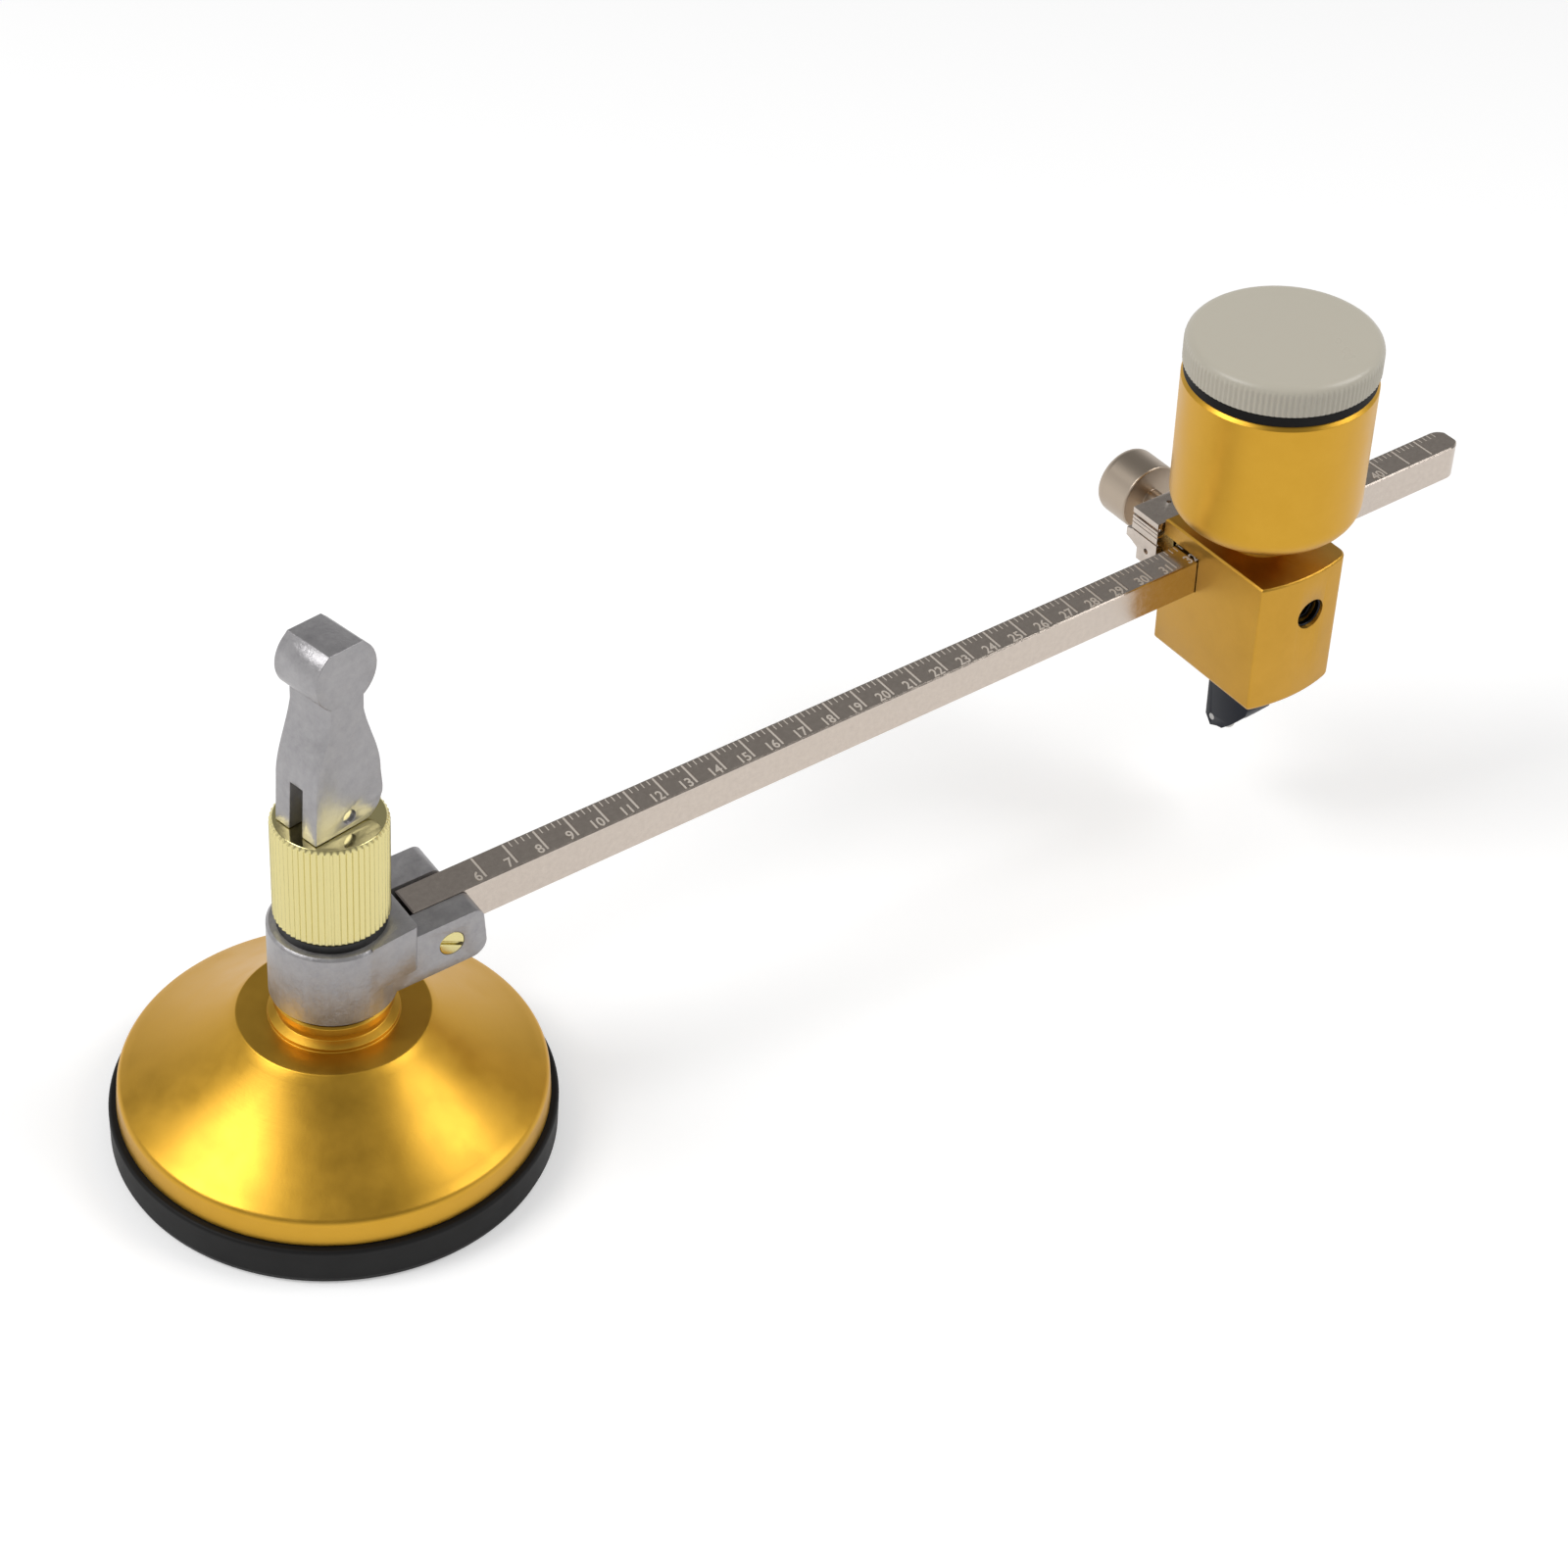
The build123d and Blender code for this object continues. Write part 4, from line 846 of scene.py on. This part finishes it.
bar_width = 5.4
tick_first, tick_pitch, tick_count, fine_per_tick = 27.94, 5.0, 36, 5
long_l, long_w, long_t, long_low, long_middle = 4.4, 0.32, 0.13, -0.118, 0.108
long_y = long_middle - long_l / 2
shade_w, shade_t, shade_low, shade_shift = 0.14, 0.06, -0.05, 0.17
fine_l, fine_w, fine_t, fine_low, fine_margin = 1.15, 0.16, 0.06, -0.045, 0.35
fine_y = bar_width / 2 - fine_margin - fine_l
long_u = tick_first + tick_pitch * np.arange(-1, tick_count)
fine_u = np.arange(1, tick_count * fine_per_tick) * (tick_pitch / fine_per_tick) + tick_first
filling = row_of_boxes("marks_long", long_u - long_w / 2, (long_w, long_l, long_t), (long_y, long_low))
dress(filling, pale_mark, "bar", "nickel_plate")
# painted shade: a thin dark box beside each long mark stands for the groove wall's shadow
shade = row_of_boxes("marks_shadow", long_u + shade_shift, (shade_w, long_l, shade_t), (long_y, shade_low))
dress(shade, painted_shade_mark, "bar", "nickel_plate")
comb = row_of_boxes("marks_fine", fine_u - fine_w / 2, (fine_w, fine_l, fine_t), (fine_y, fine_low))
dress(comb, pale_mark, "bar", "nickel_plate")

# %% [markdown]
# ## The scale's numbers
# Each long mark has a plain number, which is the circle's diameter in centimetres. Blender's own
# font gives the outlines. A number is made a mesh first, then set along the bar as whole arrays,
# and all of them join one piece. They stand a hair above the plate, taller than real ink, so that
# they show in a render.

# %% Numbers
first_number, last_number = 6, 40
digit_h, digit_low, digit_gap = 1.9, -2.35, 0.45
cap_height_share, narrow_share, depth_share, bold_share = 0.7, 0.8, 0.02, 0.014
digit_sharp_deg = 30


def number_mesh(value):
    """Vertices and faces of a number, thin and closed, in units of the font's own height."""
    text = bpy.data.curves.new("number", "FONT")
    text.body = str(value)
    text.size = 1.0
    text.extrude = depth_share
    text.offset = bold_share
    text.resolution_u = 3
    text.align_x = "RIGHT"
    carrier = add_to_scene("number", text)
    mesh = bpy.data.meshes.new_from_object(carrier)
    places = np.empty(len(mesh.vertices) * 3, np.float32)
    mesh.vertices.foreach_get("co", places)
    faces = [tuple(polygon.vertices) for polygon in mesh.polygons]
    bpy.data.objects.remove(carrier)
    bpy.data.curves.remove(text)
    bpy.data.meshes.remove(mesh)
    return places.reshape(-1, 3), faces


points, faces = [], []
for i in range(last_number - first_number + 1):
    shape_points, shape_faces = number_mesh(first_number + i)
    start = sum(len(p) for p in points)
    local = shape_points * digit_h / cap_height_share
    u = long_u[i] - digit_gap + local[:, 0:1] * narrow_share
    y = digit_low + local[:, 1:2]
    w = local[:, 2:3]
    points.append(bar_zero + (u * out + y * across + w * up) * MM)
    faces += [tuple(v + start for v in face) for face in shape_faces]
digits = add_to_scene("scale_numbers", bpy.data.meshes.new("scale_numbers"))
digits.data.from_pydata(np.vstack(points), [], faces)
tidy(digits)
digits.data.set_sharp_from_angle(angle=math.radians(digit_sharp_deg))
dress(digits, pale_mark, "bar", "nickel_plate")

# %% [markdown]
# ## Finishes for the pieces that keep their solids
# Every other piece keeps its own solid and only gets a finish. The record names a material slot
# for each node, so one table from slot to finish dresses them all.

# %% Finishes for the kept nodes
finishes = {
    "gold_anodised": gold_block, "satin_zinc": zinc, "nickel_plate": nickel, "bright_brass": brass,
    "plain_steel": steel, "black_steel": black_steel, "black_plastic": black_plastic,
    "grey_plastic": grey_plastic, "black_rubber": rubber,
}
for name, node in nodes.items():
    for holder in node.material_slots:
        holder.material = finishes[slot_of[name]]
print("finishes given:", len(slot_of))

# %% [markdown]
# ## The floor
# The floor is a wide pale sheet. For the camera, and in metal that reflects it, it glows a
# little, which makes it white like the photograph's background. It sends no extra light on the
# tool, and it still takes the tool's soft shadow.

# %% Floor


def seen_directly(tree):
    """One for rays from the camera or a glossy or clear surface, nought for those that light things."""
    path = add_node(tree, "ShaderNodeLightPath").outputs
    camera_or_gloss = add_node(
        tree, "ShaderNodeMath", {"operation": "MAXIMUM"}, i0=path["Is Camera Ray"], i1=path["Is Glossy Ray"]
    ).outputs[0]
    any_of_them = add_node(
        tree, "ShaderNodeMath", {"operation": "MAXIMUM"}, i0=camera_or_gloss, i1=path["Is Transmission Ray"]
    )
    return any_of_them.outputs[0]


floor_half, floor_glow = 3.0, 0.28
floor_corners = [(x * floor_half, y * floor_half, 0) for x, y in ((-1, -1), (1, -1), (1, 1), (-1, 1))]
floor_mesh = bpy.data.meshes.new("floor")
floor_mesh.from_pydata(floor_corners, [], [(0, 1, 2, 3)])
floor = add_to_scene("floor", floor_mesh)
floor_material = bpy.data.materials.new("floor_white")
floor_material.use_nodes = True
tree = floor_material.node_tree
tree.nodes.clear()
glow = add_node(tree, "ShaderNodeMath", {"operation": "MULTIPLY"}, i0=seen_directly(tree), i1=floor_glow)
paper = add_node(tree, "ShaderNodeBsdfDiffuse", Color=linear("#EDEDED"))
shine = add_node(tree, "ShaderNodeEmission", Color=(1, 1, 1, 1), Strength=glow.outputs[0])
both = add_node(tree, "ShaderNodeAddShader", i0=paper.outputs[0], i1=shine.outputs[0])
add_node(tree, "ShaderNodeOutputMaterial", Surface=both.outputs[0])
floor_mesh.materials.append(floor_material)
print("floor:", 2 * floor_half, "m wide")

# %% [markdown]
# ## The lamps
# The photograph's dome shows two soft highlights, so two square soft lamps stand above it, the
# stronger on the left. They face the middle of the tool, and their size sets how soft the
# highlights' edges are.

# %% Lamps


def soft_lamp(name, direction, watts, away=0.9, side=0.4):
    """A square lamp in a direction from the tool's middle, away and as wide as given in metres."""
    data = bpy.data.lights.new(name, "AREA")
    data.shape = "RECTANGLE"
    data.size, data.size_y = side, side
    data.energy = watts
    lamp = add_to_scene(name, data)
    towards = Vector(direction).normalized()
    lamp.location = Vector(aim) + towards * away
    lamp.rotation_euler = towards.to_track_quat("Z", "Y").to_euler()
    return lamp


lamps = [
    soft_lamp("lamp_left", (-0.61, 0.21, 0.76), watts=3.3),
    soft_lamp("lamp_right", (0.54, -0.35, 0.77), watts=2.4),
]
print("lamps in watts:", [round(lamp.data.energy, 2) for lamp in lamps])

# %% [markdown]
# ## The surroundings
# Rays that light the tool meet an even grey. The camera and the metals see a wall that is white
# near the horizon and darkens overhead, so that the upright faces look pale and the gold has
# something darker to reflect between the lamps.

# %% Surroundings
world = bpy.data.worlds.new("studio")
bpy.context.scene.world = world
world.use_nodes = True
tree = world.node_tree
tree.nodes.clear()
even_light, wall_light, ceiling_light = 0.45, 1.0, 0.28
wall_top, ceiling_start = 0.05, 0.55
view_line = add_node(tree, "ShaderNodeTexCoord").outputs["Generated"]
towards = add_node(tree, "ShaderNodeSeparateXYZ", i0=view_line)
backdrop = add_node(
    tree, "ShaderNodeMapRange", {"interpolation_type": "SMOOTHSTEP"}, Value=towards.outputs[2],
    From_Min=wall_top, From_Max=ceiling_start, To_Min=wall_light, To_Max=ceiling_light,
)
room = add_node(
    tree, "ShaderNodeMapRange", Value=seen_directly(tree), To_Min=even_light, To_Max=backdrop.outputs[0]
)
air = add_node(tree, "ShaderNodeBackground", Color=(1, 1, 1, 1), Strength=room.outputs[0])
add_node(tree, "ShaderNodeOutputWorld", Surface=air.outputs[0])
print("surroundings:", world.name)

# %% [markdown]
# ## The view
# The Standard view shows colours as they are written.

# %% View
bpy.context.scene.view_settings.view_transform = "Standard"
